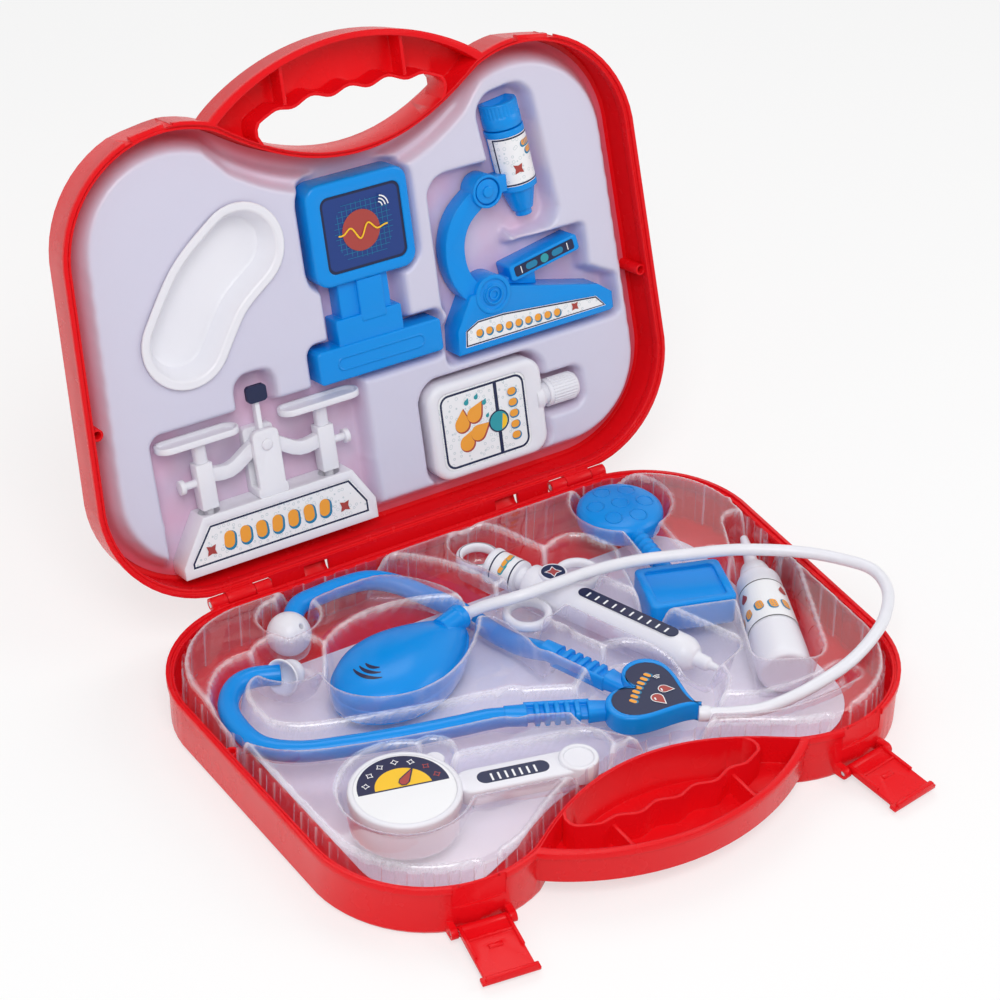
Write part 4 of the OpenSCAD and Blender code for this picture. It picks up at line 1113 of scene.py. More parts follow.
@dataclass
class FormedTray(Assembly):
    """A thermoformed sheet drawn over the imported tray: soft fillets, sloped walls, scalloped skirt.

    The sheet is sampled from the CAD tray from its open side, then relaxed as warm sheet does,
    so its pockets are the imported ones.
    """

    pitch: float = 0.9
    ray_pitch: float = 0.55
    draft: float = 1.15
    widened: int = 1

    def heights(self, node: str, place: Matrix, x: np.ndarray, y: np.ndarray, top: float) -> np.ndarray:
        """Casts rays onto a CAD tray.

        Args:
            node: the tray.
            place: its working frame.
            x: grid coordinates across.
            y: grid coordinates away from the hinge.
            top: height that the rays start from.

        Returns:
            Heights by y and x, not a number where nothing was met.
        """
        back = place.inverted()
        mesh = self.nodes[node].data
        points = [back @ v.co for v in mesh.vertices]
        tree = BVHTree.FromPolygons(points, [tuple(p.vertices) for p in mesh.polygons])
        out, down = np.full((len(y), len(x)), np.nan), Vector((0, 0, -1))
        for j, b in enumerate(y):
            for i, a in enumerate(x):
                hit = tree.ray_cast(Vector((a, b, top)), down)[0]
                if hit is not None:
                    out[j, i] = hit.z
        return out

    @staticmethod
    def blurred(grid: np.ndarray, sigma: float) -> np.ndarray:
        """Gaussian blur of a grid, sigma in cells."""
        reach = int(3 * sigma) + 1
        kernel = np.exp(-0.5 * (np.arange(-reach, reach + 1) / sigma) ** 2)
        kernel /= kernel.sum()
        out = np.apply_along_axis(lambda r: np.convolve(np.pad(r, reach, "edge"), kernel, "valid"), 0, grid)
        return np.apply_along_axis(lambda r: np.convolve(np.pad(r, reach, "edge"), kernel, "valid"), 1, out)

    @staticmethod
    def sunk(grid: np.ndarray, cells: int) -> np.ndarray:
        """Widens the pockets of a grid by some cells."""
        out = grid
        for _ in range(cells):
            pad = np.pad(out, 1, "edge")
            out = np.min([pad[1:-1, 1:-1], pad[:-2, 1:-1], pad[2:, 1:-1], pad[1:-1, :-2], pad[1:-1, 2:]], axis=0)
        return out

    @staticmethod
    def to_outline(px: np.ndarray, py: np.ndarray, outline: Flat) -> tuple[np.ndarray, ...]:
        """Measures points against a closed outline.

        Args:
            px: x of the points.
            py: y of the points.
            outline: counter-clockwise points.

        Returns:
            Depth inside (negative outside), nearest x, nearest y and length along the outline.
        """
        a = np.array(outline, float)
        b = np.roll(a, -1, 0)
        step = np.linalg.norm(b - a, axis=1)
        run = np.concatenate([[0], np.cumsum(step)[:-1]])
        best = np.full(px.shape, 1e9)
        nx, ny, along = np.zeros_like(px), np.zeros_like(px), np.zeros_like(px)
        inside = np.zeros(px.shape, bool)
        for (ax, ay), (bx, by), length, start in zip(a, b, step, run):
            t = np.clip(((px - ax) * (bx - ax) + (py - ay) * (by - ay)) / length**2, 0, 1)
            qx, qy = ax + t * (bx - ax), ay + t * (by - ay)
            d = np.hypot(px - qx, py - qy)
            near = d < best
            best, nx, ny = np.where(near, d, best), np.where(near, qx, nx), np.where(near, qy, ny)
            along = np.where(near, start + t * length, along)
            if ay != by:
                cross = ((ay > py) != (by > py)) & (px < (bx - ax) * (py - ay) / (by - ay) + ax)
                inside ^= cross
        return np.where(inside, best, -best), nx, ny, along

    def sheet(self, name: str, node: str, body: Body, slot: Slot, place: Matrix, outline: Flat, mirror: float,
              top: float, skirt: Callable[[np.ndarray, np.ndarray], np.ndarray], plateau: float, floor: float) -> bpy.types.Object:
        """Makes the formed sheet.

        Args:
            name: the piece's name.
            node: the CAD tray that it stands for.
            body: the body that carries it.
            slot: its finish.
            place: its working frame.
            outline: the sheet's outer edge.
            mirror: sign of y away from the hinge.
            top: height that the rays start from.
            skirt: depth inside and length along the outline to the highest height allowed there.
            plateau: height of its flat.
            floor: lowest height.

        Returns:
            The piece.
        """
        xs = [p[0] for p in outline]
        ys = [p[1] for p in outline]
        gx = np.arange(min(xs) - 1, max(xs) + 1, self.ray_pitch)
        gy = np.arange(min(ys) - 1, max(ys) + 1, self.ray_pitch)
        raw = self.heights(node, place, gx, gy * mirror, top)
        raw = np.where(np.isnan(raw), floor, raw)
        relaxed = self.blurred(self.sunk(raw, self.widened), self.draft / self.ray_pitch)
        x = np.arange(gx[0], gx[-1], self.pitch)
        y = np.arange(gy[0], gy[-1], self.pitch)
        px, py = np.meshgrid(x, y)
        depth, nx, ny, along = self.to_outline(px, py, outline)
        inside = depth > 0.25
        cell = inside[:-1, :-1] | inside[1:, :-1] | inside[:-1, 1:] | inside[1:, 1:]
        used = np.zeros(px.shape, bool)
        for dj in (0, 1):
            for di in (0, 1):
                used[dj : dj + cell.shape[0], di : di + cell.shape[1]] |= cell
        px, py = np.where(inside, px, nx), np.where(inside, py, ny)
        depth = np.where(inside, depth, 0)
        fi = np.clip((px - gx[0]) / self.ray_pitch, 0, len(gx) - 1.001)
        fj = np.clip((py - gy[0]) / self.ray_pitch, 0, len(gy) - 1.001)
        i, j = fi.astype(int), fj.astype(int)
        u, v = fi - i, fj - j
        z = (relaxed[j, i] * (1 - u) * (1 - v) + relaxed[j, i + 1] * u * (1 - v)
             + relaxed[j + 1, i] * (1 - u) * v + relaxed[j + 1, i + 1] * u * v)
        z = np.minimum(z, skirt(depth, along))
        index = np.full(px.shape, -1)
        index[used] = np.arange(used.sum())
        points = [place @ Vector((a, b * mirror, c)) for a, b, c in zip(px[used], py[used], z[used])]
        corners = np.stack([index[:-1, :-1][cell], index[:-1, 1:][cell], index[1:, 1:][cell], index[1:, :-1][cell]], 1)
        if mirror < 0:
            corners = corners[:, ::-1]
        mesh = bpy.data.meshes.new(name)
        mesh.from_pydata(points, [], corners.tolist())
        drawn = mesh.attributes.new("depth", "FLOAT", "POINT")
        share = np.clip((plateau - z[used]) / (plateau - floor), 0, 1)
        drawn.data.foreach_set("value", share.astype(np.float32))
        # painted highlight lines: pale where the relaxed sheet bends sharply, on ridges more than in hollows
        slope = [np.gradient(relaxed, self.ray_pitch, axis=a) for a in (0, 1)]
        bend = sum(np.gradient(g / np.sqrt(1 + slope[0] ** 2 + slope[1] ** 2), self.ray_pitch, axis=a) for a, g in enumerate(slope))
        line = self.blurred(np.clip((np.where(bend < 0, -bend, 0.6 * bend) - 0.16) / 0.4, 0, 1), 0.8)[j, i]
        crease_highlight = mesh.attributes.new("crease_highlight", "FLOAT", "POINT")
        crease_highlight.data.foreach_set("value", line[used].astype(np.float32))
        # where the white sheet's painted red glow of the shell goes: strongest at the sheet's edge
        margin = mesh.attributes.new("margin", "FLOAT", "POINT")
        margin.data.foreach_set("value", (1 - self.step(depth, 0.5, 9.0))[used].astype(np.float32))
        mesh.validate()
        mesh.shade_smooth()
        return hand_over(mesh, body, [self.shop.finish(slot)], [node])

    @staticmethod
    def step(value: np.ndarray, low: float, high: float) -> np.ndarray:
        """Smooth step from 0 at low to 1 at high."""
        t = np.clip((value - low) / (high - low), 0, 1)
        return t * t * (3 - 2 * t)


@dataclass
class LidTray(FormedTray):
    """The white tray of the lid, with a scalloped skirt that slopes to the lid's floor."""

    widened: int = 2
    scallop_mm: float = 7.5
    scallop_depth: float = 0.5

    def build(self) -> None:
        """Makes the sheet."""
        case = self.case
        floor = case.pocket_w + 0.05

        def skirt(depth: np.ndarray, along: np.ndarray) -> np.ndarray:
            """Height allowed near the edge."""
            tooth = np.abs(((along / self.scallop_mm) % 1) - 0.5) * 2
            ripple = self.scallop_depth * np.clip((tooth - 0.8) * 5, 0, 1)
            d = depth - ripple
            rise = 0.45 * self.step(d, 1.0, 3.4) + 0.55 * self.step(d, 4.2, 8.4)
            return floor + (case.lid_plateau - floor) * rise

        self.sheet(
            "lid_tray_formed", "lid_tray", Body.LID, Slot.PALE, case.lid, case.outline(4.2, 4.2), 1.0, 2.0, skirt,
            case.lid_plateau, floor,
        )


@dataclass
class ClearTray(FormedTray):
    """The clear tray of the base: pockets, a soft shoulder and pleated walls down to the floor."""

    draft: float = 1.2
    pleat_mm: float = 11.0
    pleat_depth: float = 1.1
    wall_inset: float = 5.1
    lean: float = 0.9
    shoulder: float = 2.6
    notch: float = 4.1

    def build(self) -> None:
        """Makes the sheet and its pleated wall."""
        case, r = self.case, self.shoulder

        def skirt(depth: np.ndarray, along: np.ndarray) -> np.ndarray:
            """Height allowed near the edge: the shoulder's quarter round."""
            return case.clear_top - r + np.sqrt(np.maximum(0, r**2 - (r - np.minimum(depth, r)) ** 2))

        inset = self.wall_inset + self.lean
        self.sheet(
            "clear_tray_formed", "clear_tray", Body.BASE, Slot.CLEAR, case.base, case.outline(inset, inset, self.notch + self.lean),
            -1.0, 60.0, skirt, case.clear_top, 2.4,
        )
        self.wall(case.clear_top - r + 0.1)

    def wall(self, top: float) -> None:
        """Makes the pleated wall below the shoulder."""
        case = self.case
        line = [Vector((x, y, 0)) for x, y in case.outline(self.wall_inset, self.wall_inset, self.notch)]
        line.append(line[0])
        run, fine, bent = 0.0, [], []
        for a, b in zip(line, line[1:]):
            out = (b - a).normalized().cross(Vector((0, 0, 1)))
            steps = max(1, int((b - a).length / 0.7))
            for k in range(steps):
                p = a.lerp(b, k / steps)
                here = (run + (b - a).length * k / steps) / self.pleat_mm % 1
                share = min(1, max(0, (abs(here - 0.5) * 2 - 0.55) * 9))
                fine.append(p - out * self.pleat_depth * share)
                # painted highlight line along each pleat's folds
                bent.append(0.75 * share * (1 - share) * 4)
            run += (b - a).length
        levels = [(2.5, -1.2), (4.0, 0.0), (9.0, 0.15), (20.0, 0.55), (top, self.lean)]
        form = Form()
        for z, inward in levels:
            ring = inset_of([(p.x, p.y) for p in fine], inward)
            form.points += [Vector((x, -y, z)) for x, y in reversed(ring)]
        n = len(fine)
        for level in range(len(levels) - 1):
            for k in range(n):
                a, b = level * n + k, level * n + (k + 1) % n
                form.add_face((a, b, b + n, a + n))
        mesh = form.mesh("clear_tray_wall", case.base, 25)
        # the pleats' folds carry the painted highlight lines of the clear finish
        crease_highlight = mesh.attributes.new("crease_highlight", "FLOAT", "POINT")
        crease_highlight.data.foreach_set("value", np.tile(np.array(bent[::-1], np.float32), len(levels)))
        hand_over(mesh, Body.BASE, [self.shop.finish(Slot.CLEAR)])


# ---------------------------------------------------------------- toys in the base


@dataclass
class Stethoscope(Assembly):
    """Headset tubes, ear tips, heart joint, chest piece and hose."""

    arm_r: float = 4.7
    bar_half: float = 5.5
    hose_r: float = 2.8
    # the routes are those of the CAD source, in millimetres of the base frame
    left_arm: tuple = (
        (-29, -135, 22), (-40, -131, 22), (-54, -128, 22), (-78, -122, 22), (-101, -115, 22), (-119, -108, 22),
        (-131, -97, 22), (-134, -82, 22), (-132, -67, 22), (-124, -56, 22), (-114, -53, 22), (-101.5, -57, 21.7),
    )
    right_arm: tuple = (
        (10, -105, 21), (8, -95, 16.9), (7, -84, 12.2), (3, -72, 11.5), (0, -57, 11), (-4, -43, 11.5), (-12, -31, 14),
        (-22, -21, 18), (-33, -15.5, 21), (-46, -14.5, 22), (-60, -15, 22), (-71, -17, 22), (-79, -24.5, 20.5),
    )
    hose: tuple = (
        (-9.5, -63, 23), (-2, -68, 28), (12, -76, 33.5), (32, -78, 35), (52, -80, 36), (72, -84, 36), (93, -93, 37),
        (115, -102, 37), (138, -118, 37), (152, -134, 37), (158, -147, 37), (154, -162, 36.5), (141, -176, 36),
        (126, -185, 35), (110, -191, 33.5), (94, -193, 31), (79, -192.5, 28), (64, -190, 25.5), (52, -184, 24),
        (42.5, -178, 23.5),
    )
    joint_at: tuple = (27, -157.5)
    joint_turn: float = 37.0
    joint_z: float = 19.0
    chest_at: tuple = (-48, -74)
    chest_turn: float = 16.0
    chest_z: float = 9.0

    def build(self) -> None:
        """Makes every piece."""
        self.tubes()
        self.ear_tips()
        self.heart_joint()
        self.chest_piece()
        self.sound_hose()

    def tubes(self) -> None:
        """Smooth tubes and the combed bars that end them at the heart."""
        form = Form()
        for route in (self.left_arm, self.right_arm):
            form.tube(smooth_route(route, 8), lambda t: self.arm_r - 0.6 * max(0.0, 1 - t * 12), 28)
        self.piece(form, "headset_arms", Body.BASE, Slot.BLUE, self.case.base, ["headset_tubes"])
        bars = Form()
        for start, end, z, rail in ((8, -153), (-29, -135), 22.2, -1), ((24, -142), (10, -105), 21.2, 1):
            self.bar(bars, Vector(start), Vector(end), z, rail)
        self.piece(bars, "headset_bars", Body.BASE, Slot.BLUE, self.case.base)

    def bar(self, form: Form, start: Vector, end: Vector, z: float, rail: int) -> None:
        """One bar from the heart to its tube: a solid end, a comb of ribs on a web, a solid end.

        Args:
            form: what it is added to.
            start: its end at the heart.
            end: its end at the tube.
            z: its middle.
            rail: the side that the comb's back is on.
        """
        along = (end - start).normalized()
        across = Vector((-along.y, along.x))
        length = (end - start).length

        def block(stations: Sequence[tuple[float, float, float]], soft: float = 3.2, aside: float = 0.0) -> None:
            """Lofts rounded sections, each given by its place, half width and half height."""
            rings = []
            for place, half, high in stations:
                ring = []
                for k in range(32):
                    a = 2 * math.pi * k / 32
                    c, v = math.cos(a), math.sin(a)
                    u = half * math.copysign(abs(c) ** (2 / soft), c)
                    w = high * math.copysign(abs(v) ** (2 / soft), v)
                    spot = start + along * place + across * (u + aside)
                    ring.append((spot.x, spot.y, z + w))
                rings.append(ring)
            form.loft([ring[::-1] for ring in rings])

        comb, ribs, w, h = 9.0, 6, self.bar_half, 3.9
        last = comb + 4.4 * ribs
        block([(-2.0, w - 1.2, h - 0.5), (comb - 2.0, w - 0.6, h), (comb - 0.3, w, h), (comb, w - 0.3, h - 0.3)])
        block([(comb - 1, w - 1.3, 1.9), (last + 1, w - 1.3, 1.9)])
        block([(comb - 1, 1.3, h - 0.3), (last + 1, 1.3, h - 0.3)], aside=rail * (w - 1.4))
        for k in range(ribs - 1):
            mid = comb + 4.4 * (k + 1)
            block([(mid - 1.2, w - 0.5, h - 0.5), (mid - 0.8, w - 0.1, h), (mid + 0.8, w - 0.1, h), (mid + 1.2, w - 0.5, h - 0.5)])
        block([(last, w - 0.3, h - 0.3), (last + 0.3, w, h), (length - 3, w - 0.4, h), (length + 4, self.arm_r - 0.3, h + 0.3)], 2.6)

    def ear_tips(self) -> None:
        """The ball tip with its sound hole, and the cup tip round the other tube's end."""
        form = Form()
        ball = Vector((-83, -30, 19))
        r = 10.2
        hole_dir = Vector((0.35, -0.62, 0.70)).normalized()
        place = Matrix.Translation(ball) @ hole_dir.to_track_quat("Z", "Y").to_matrix().to_4x4()
        profile = [(0.0, -r)]
        profile += [(r * math.sin(math.radians(a)), -r * math.cos(math.radians(a))) for a in range(8, 169, 8)]
        profile += [(1.5, r * 0.985), (1.25, r * 0.94), (1.2, r * 0.6), (0.0, r * 0.58)]
        form.turned(profile, place, 56, 0.15)
        bell = Vector((-97, -58, 21))
        mouth = Vector((-0.86, -0.42, 0.28)).normalized()
        place = Matrix.Translation(bell) @ mouth.to_track_quat("Z", "Y").to_matrix().to_4x4()
        profile = [
            (0.0, -6.2), (2.5, -5.9), (4.4, -4.8), (5.8, -2.8), (6.4, -0.6), (6.6, 1.6), (7.3, 3.8), (8.2, 5.4), (8.7, 6.4),
            (8.3, 6.9), (7.4, 6.5), (6.0, 4.2), (4.3, 2.6), (4.1, 1.4), (0.0, 1.2),
        ]
        form.turned(profile, place, 56, 0.5)
        self.piece(form, "ear_tips_moulded", Body.BASE, Slot.WHITE, self.case.base, ["ear_tips"])

    def heart_joint(self) -> None:
        """The heart-shaped joint with its sunk sticker."""
        z = self.joint_z
        place = self.case.base @ Matrix.Translation((*self.joint_at, 0)) @ Matrix.Rotation(math.radians(self.joint_turn), 4, "Z")
        outer, inner = heart(22)[::-1], heart(19)[::-1]
        form = Form().prism(outer, z, z + 9.5, 1.2, 0.6, (inner, 0.7))
        self.piece(form, "heart_joint_moulded", Body.BASE, Slot.BLUE, place, ["heart_joint"])
        self.dress(Slot.NAVY_PRINT, "heart_label")
        art = Sticker("heart_print", Body.BASE, Slot.NAVY_PRINT)
        for k in range(7):
            x, y = -9.5 + 3.2 * k, 5.6 - 0.1 * (k - 3) ** 2
            art.fill(Ink.SKY, pill(x + 0.3, y - 0.4, 2.5, 4.2, -8))
            art.fill(Ink.ORANGE, pill(x, y, 1.9, 3.6, -8))
        for x, y, size, turn in ((-3.6, -4.4, 4.6, 155), (3.4, -5.0, 4.0, 200)):
            art.fill(Ink.WHITE, drop(x, y, size * 1.3, turn))
            art.fill(Ink.BRICK, drop(x, y, size * 1.12, turn))
            art.fill(Ink.WHITE, pill(x - 1.0, y + 0.6, 1.8, 0.7, 40))
        for r in (2.0, 3.2, 4.4):
            art.stroke(Ink.WHITE, CaseFrame.arc(8.6, -1.2, r * 0.7, 20, 80, 5), 0.45)
        art.print(self.shop, lambda x, y, h: Vector((x, y, z + 9.3 + h)), place)

    def chest_outline(self, grow: float, n: int = 72) -> list[tuple[float, float]]:
        """The chest piece seen from above, pointed where the hose leaves it."""
        turns = [2 * math.pi * k / n for k in range(n)]
        return [
            ((39 + grow) * math.cos(a), (24.5 - 6 * math.cos(a) - 4.5 * math.cos(a) ** 2 + grow) * math.sin(a))
            for a in turns
        ]

    def chest_piece(self) -> None:
        """The domed chest piece and its hose neck, with the dark of its three sound-slot hollows as painted shade."""
        place = self.case.base @ Matrix.Translation((*self.chest_at, 0)) @ Matrix.Rotation(math.radians(self.chest_turn), 4, "Z")
        z0, rim, top = self.chest_z, self.chest_z + 7.5, self.chest_z + 19.5
        rings = []
        for z, grow in ((z0, -1.0), (z0 + 0.4, -0.3), (z0 + 1.2, 0.0), (rim - 0.8, 0.0), (rim, -0.4), (rim + 0.2, -0.9)):
            rings.append([(x, y, z) for x, y in self.chest_outline(grow)])
        base = self.chest_outline(-1.1)
        crown = Vector((-3.5, 0))
        for k in range(1, 16):
            a = math.pi / 2 * k / 16
            shrink, lift = math.cos(a), math.sin(a) ** 0.92
            rings.append(
                [(crown.x + (x - crown.x) * shrink, y * shrink, rim + 0.2 + (top - rim - 0.2) * lift) for x, y in base]
            )
        form = Form().loft(rings)
        neck = Matrix.Translation((33.5, 1.2, z0 + 13.2)) @ Vector((1, 0.02, 0.02)).to_track_quat("Z", "Y").to_matrix().to_4x4()
        form.turned([(0, -9), (5.4, -9), (5.6, 1), (6.1, 1.4), (6.1, 4.6), (5.4, 5.2), (3.4, 5.3), (0, 5.3)], neck, 40, 0.4)
        self.piece(form, "chest_piece_moulded", Body.BASE, Slot.BLUE, place, ["chest_piece"], 50)

        def dome_height(x: float, y: float) -> float:
            """Height of the dome over a point of its plan."""
            low, high = 0.0, 1.0
            for _ in range(22):
                mid = (low + high) / 2
                a = math.atan2(y / max(mid, 1e-6), (x - crown.x) / max(mid, 1e-6) + crown.x) if mid else 0
                best = min(base, key=lambda p: abs(math.atan2(p[1], p[0] - crown.x) - math.atan2(y, x - crown.x)))
                reach = math.hypot(best[0] - crown.x, best[1]) * mid
                low, high = (mid, high) if reach < math.hypot(x - crown.x, y) else (low, mid)
                del a
            lift = math.sqrt(max(0.0, 1 - low * low)) ** 0.92
            return rim + 0.2 + (top - rim - 0.2) * lift

        # painted shade: navy crescents laid a hair over the dome stand for the dark inside the three sound-slot hollows
        slot_shade = Form()
        for k in range(3):
            r = 5.6 + 2.9 * k
            turns = np.linspace(2.7, 4.1, 14)
            thick = 0.95 * np.sin(np.linspace(0.25, math.pi - 0.25, 14))
            outer = [(-15.0 + (r + q) * math.cos(t), 2.0 + (r + q) * math.sin(t)) for t, q in zip(turns, thick)]
            inner = [(-15.0 + (r - q) * math.cos(t), 2.0 + (r - q) * math.sin(t)) for t, q in zip(turns, thick)]
            start = len(slot_shade.points)
            for p in outer + inner:
                slot_shade.points.append(Vector((p[0], p[1], dome_height(*p) + 0.06)))
            for i in range(13):
                slot_shade.add_face((start + i, start + i + 1, start + 14 + i + 1, start + 14 + i))
        mesh = slot_shade.mesh("chest_slot_painted_shade", place)
        hand_over(mesh, Body.BASE, [self.shop.ink(Ink.NAVY)])

    def sound_hose(self) -> None:
        """The free hose from the chest piece to the heart joint."""
        path = smooth_route(self.hose, 8)
        form = Form().tube(path, self.hose_r, 20)
        for tip, into in ((path[-1], (39.6, -176.2, 23.6)), (path[0], (-11.5, -62.0, 22.2))):
            out = tip + (tip - Vector(into)).normalized() * 2.2
            form.tube([Vector(into).lerp(out, k / 6) for k in range(7)], lambda t: self.hose_r + 0.8 * min(1.0, 4 - 4 * t), 24)
        hose = self.piece(form, "sound_hose", Body.BASE, Slot.HOSE, self.case.base, ["hose"])
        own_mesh(hose)


@dataclass
class Syringe(Assembly):
    """Barrel with finger rings, plunger with thumb ring, and their stickers."""

    at: tuple = (20, -25.3, 20)
    turn: float = -69.3
    barrel_r: float = 9.0
    ring_z: float = 16.5

    def build(self) -> None:
        """Makes every piece."""
        x, y, z = self.at
        flat = self.case.base @ Matrix.Translation((x, y, 0)) @ Matrix.Rotation(math.radians(self.turn), 4, "Z")
        axis = self.case.base @ Matrix.Translation(self.at) @ Matrix.Rotation(math.radians(self.turn), 4, "Z") @ Matrix.Rotation(
            math.radians(90), 4, "Y"
        )
        r = self.barrel_r
        barrel = Form().turned(
            [(0, 31), (5.75, 31), (r, 31), (r, 36.5), (r - 0.35, 37.4), (r - 0.25, 60), (r - 0.6, 116), (r - 1.0, 119),
             (r - 2.4, 121.5), (5.0, 123.5), (3.5, 124), (3.3, 130.4), (2.0, 131.4), (1.5, 136), (0, 136)],
            None, 56, 0.7,
        )
        rings = Form()
        for side in (-1, 1):
            rings.band(circle(11.5, 48, 44, side * 19.5), circle(7.8, 48, 44, side * 19.5), self.ring_z, self.ring_z + 5, 1.8)
        rings.prism(circle(6.6, 40, 42, 2.5), z + 2, z + 9.8, 0.7, 0.2, (circle(5.6, 40, 42, 2.5), 0.4))
        self.piece(barrel, "syringe_barrel_turned", Body.BASE, Slot.WHITE, axis, ["syringe_barrel"])
        self.piece(rings, "syringe_finger_rings", Body.BASE, Slot.WHITE, flat)
        plunger = Form().turned(
            [(0, 9), (8.8, 9), (8.8, 10.8), (8.2, 11.4), (8.2, 25.9), (5.55, 25.9), (5.55, 64.9), (0, 64.9)], None, 56, 0.3
        )
        self.piece(plunger, "syringe_plunger_turned", Body.PLUNGER, Slot.WHITE, axis, ["syringe_plunger", "syringe_label"])
        thumb = Form().band(circle(10.5, 48), circle(7.2, 48), z - 2.6, z + 2.6, 1.8)
        self.piece(thumb, "syringe_thumb_ring", Body.PLUNGER, Slot.WHITE, flat)
        self.dress(Slot.NAVY_PRINT, "syringe_scale", "syringe_badge")
        self.prints(flat, axis)

    def prints(self, flat: Matrix, axis: Matrix) -> None:
        """The scale's ticks, the badge's motif and the label round the plunger."""
        z = self.at[2]
        place = flat @ Matrix.Translation((64.5, -0.6, z + 8.86))
        repeat_piece(self.shop, "syringe_ticks", False, Body.BASE, Slot.NAVY_PRINT, self.shop.ink(Ink.WHITE), place,
                     Count=10, Span=43, Width=0.9, Length=3.4, Height=0.06)
        badge = Sticker("syringe_badge_print", Body.BASE, Slot.NAVY_PRINT)
        badge.fill(Ink.WHITE, star(42, 2.5, 4.2, 4, 0.5, 45)).fill(Ink.BRICK, star(42, 2.5, 3.4, 4, 0.5, 45))
        badge.print(self.shop, lambda x, y, h: Vector((x, y, z + 9.7 + h)), flat)
        label = Sticker("syringe_label_print", Body.PLUNGER, Slot.WHITE_PRINT)
        wide = 2 * math.pi * 8.25 * 0.6
        label.fill(Ink.WHITE, rounded_rect(13, wide, 0.5, 2))
        for x in (-5.6, 5.6):
            label.fill(Ink.NAVY, moved(rounded_rect(0.8, wide, 0.2, 2), x, 0))
        for k, y in enumerate((-6.5, -2.8, 0.9)):
            label.fill(Ink.TEAL, pill(0.4, y - 0.3, 6.2, 2.9, 90 + 12 * (k - 1)))
            label.fill(Ink.ORANGE, pill(0.0, y, 5.4, 2.1, 90 + 12 * (k - 1)))
        label.fill(Ink.BRICK, star(0.5, 6.4, 2.4, 4, 0.5, 20))

        def wrap(x: float, y: float, h: float) -> Vector:
            """Round the plunger, y as arc length with 0 at the top."""
            a, rad = y / 8.25, 8.25 + h
            return Vector((-rad * math.cos(a), rad * math.sin(a), 18.3 + x))

        label.print(self.shop, wrap, axis, 1.6)


@dataclass
class Lamp(Assembly):
    """Examination lamp: dimpled disc, ribbed neck and block grip."""

    at: tuple = (96, -32)
    turn: float = -98.0
    z: float = 17.0
    r: float = 21.0
    grip_at: tuple = (87, -99)
    grip_turn: float = -108.0
    grip_z: float = 12.0

    def build(self) -> None:
        """Makes every piece."""
        place = self.case.base @ Matrix.Translation((*self.at, 0)) @ Matrix.Rotation(math.radians(self.turn), 4, "Z")
        z, r = self.z, self.r
        dome = lambda q: z + 8.6 + 3.3 * math.sqrt(max(0.0, 1 - (q / (r - 0.4)) ** 2))  # noqa: E731
        profile = [(0, z), (r - 1.6, z), (r - 0.6, z + 0.8), (r, z + 3.2), (r, z + 6.6), (r - 0.5, z + 8.4)]
        profile += [(q, dome(q)) for q in [r * (1 - k / 10) - 0.4 for k in range(1, 10)]] + [(0, dome(0))]
        form = Form().turned(profile, None, 72, 0.5)
        self.piece(form, "lamp_disc", Body.BASE, Slot.BLUE, place, ["lamp_head"], 50)
        rims = Form()
        spots = [(0.0, 0.0)] + [(12.2 * math.cos(math.radians(a)), 12.2 * math.sin(math.radians(a))) for a in range(20, 380, 60)]
        for cx, cy in spots:
            ring = []
            for k in range(40):
                a = 2 * math.pi * k / 40
                section = []
                for s in range(6):
                    b = 2 * math.pi * s / 6
                    q = 4.0 + 0.42 * math.cos(b)
                    x, y = cx + q * math.cos(a), cy + q * math.sin(a)
                    section.append((x, y, dome(math.hypot(x, y)) + 0.02 + 0.30 * math.sin(b)))
                ring.append(section)
            rims.loft(ring, closed=True)
        self.piece(rims, "lamp_dimple_rims", Body.BASE, Slot.BLUE, place)
        neck = [Vector((r - 2.2 + k * 0.5, 0, z + 4.5)) for k in range(79)]
        twist = Form().tube(
            neck, lambda t: 3.9 + 0.6 * max(0.0, math.sin(t * 2 * math.pi * 9.5)) * (t < 0.66), 28
        )
        self.piece(twist, "lamp_neck", Body.BASE, Slot.BLUE, place)
        block = self.case.base @ Matrix.Translation((*self.grip_at, 0)) @ Matrix.Rotation(math.radians(self.grip_turn), 4, "Z")
        grip = Form().prism(rounded_rect(31, 41, 3), self.grip_z, self.grip_z + 15, 1.1, 0.5, (rounded_rect(24, 33, 2), 1.4))
        self.piece(grip, "lamp_block", Body.BASE, Slot.BLUE, block, ["lamp_grip"])


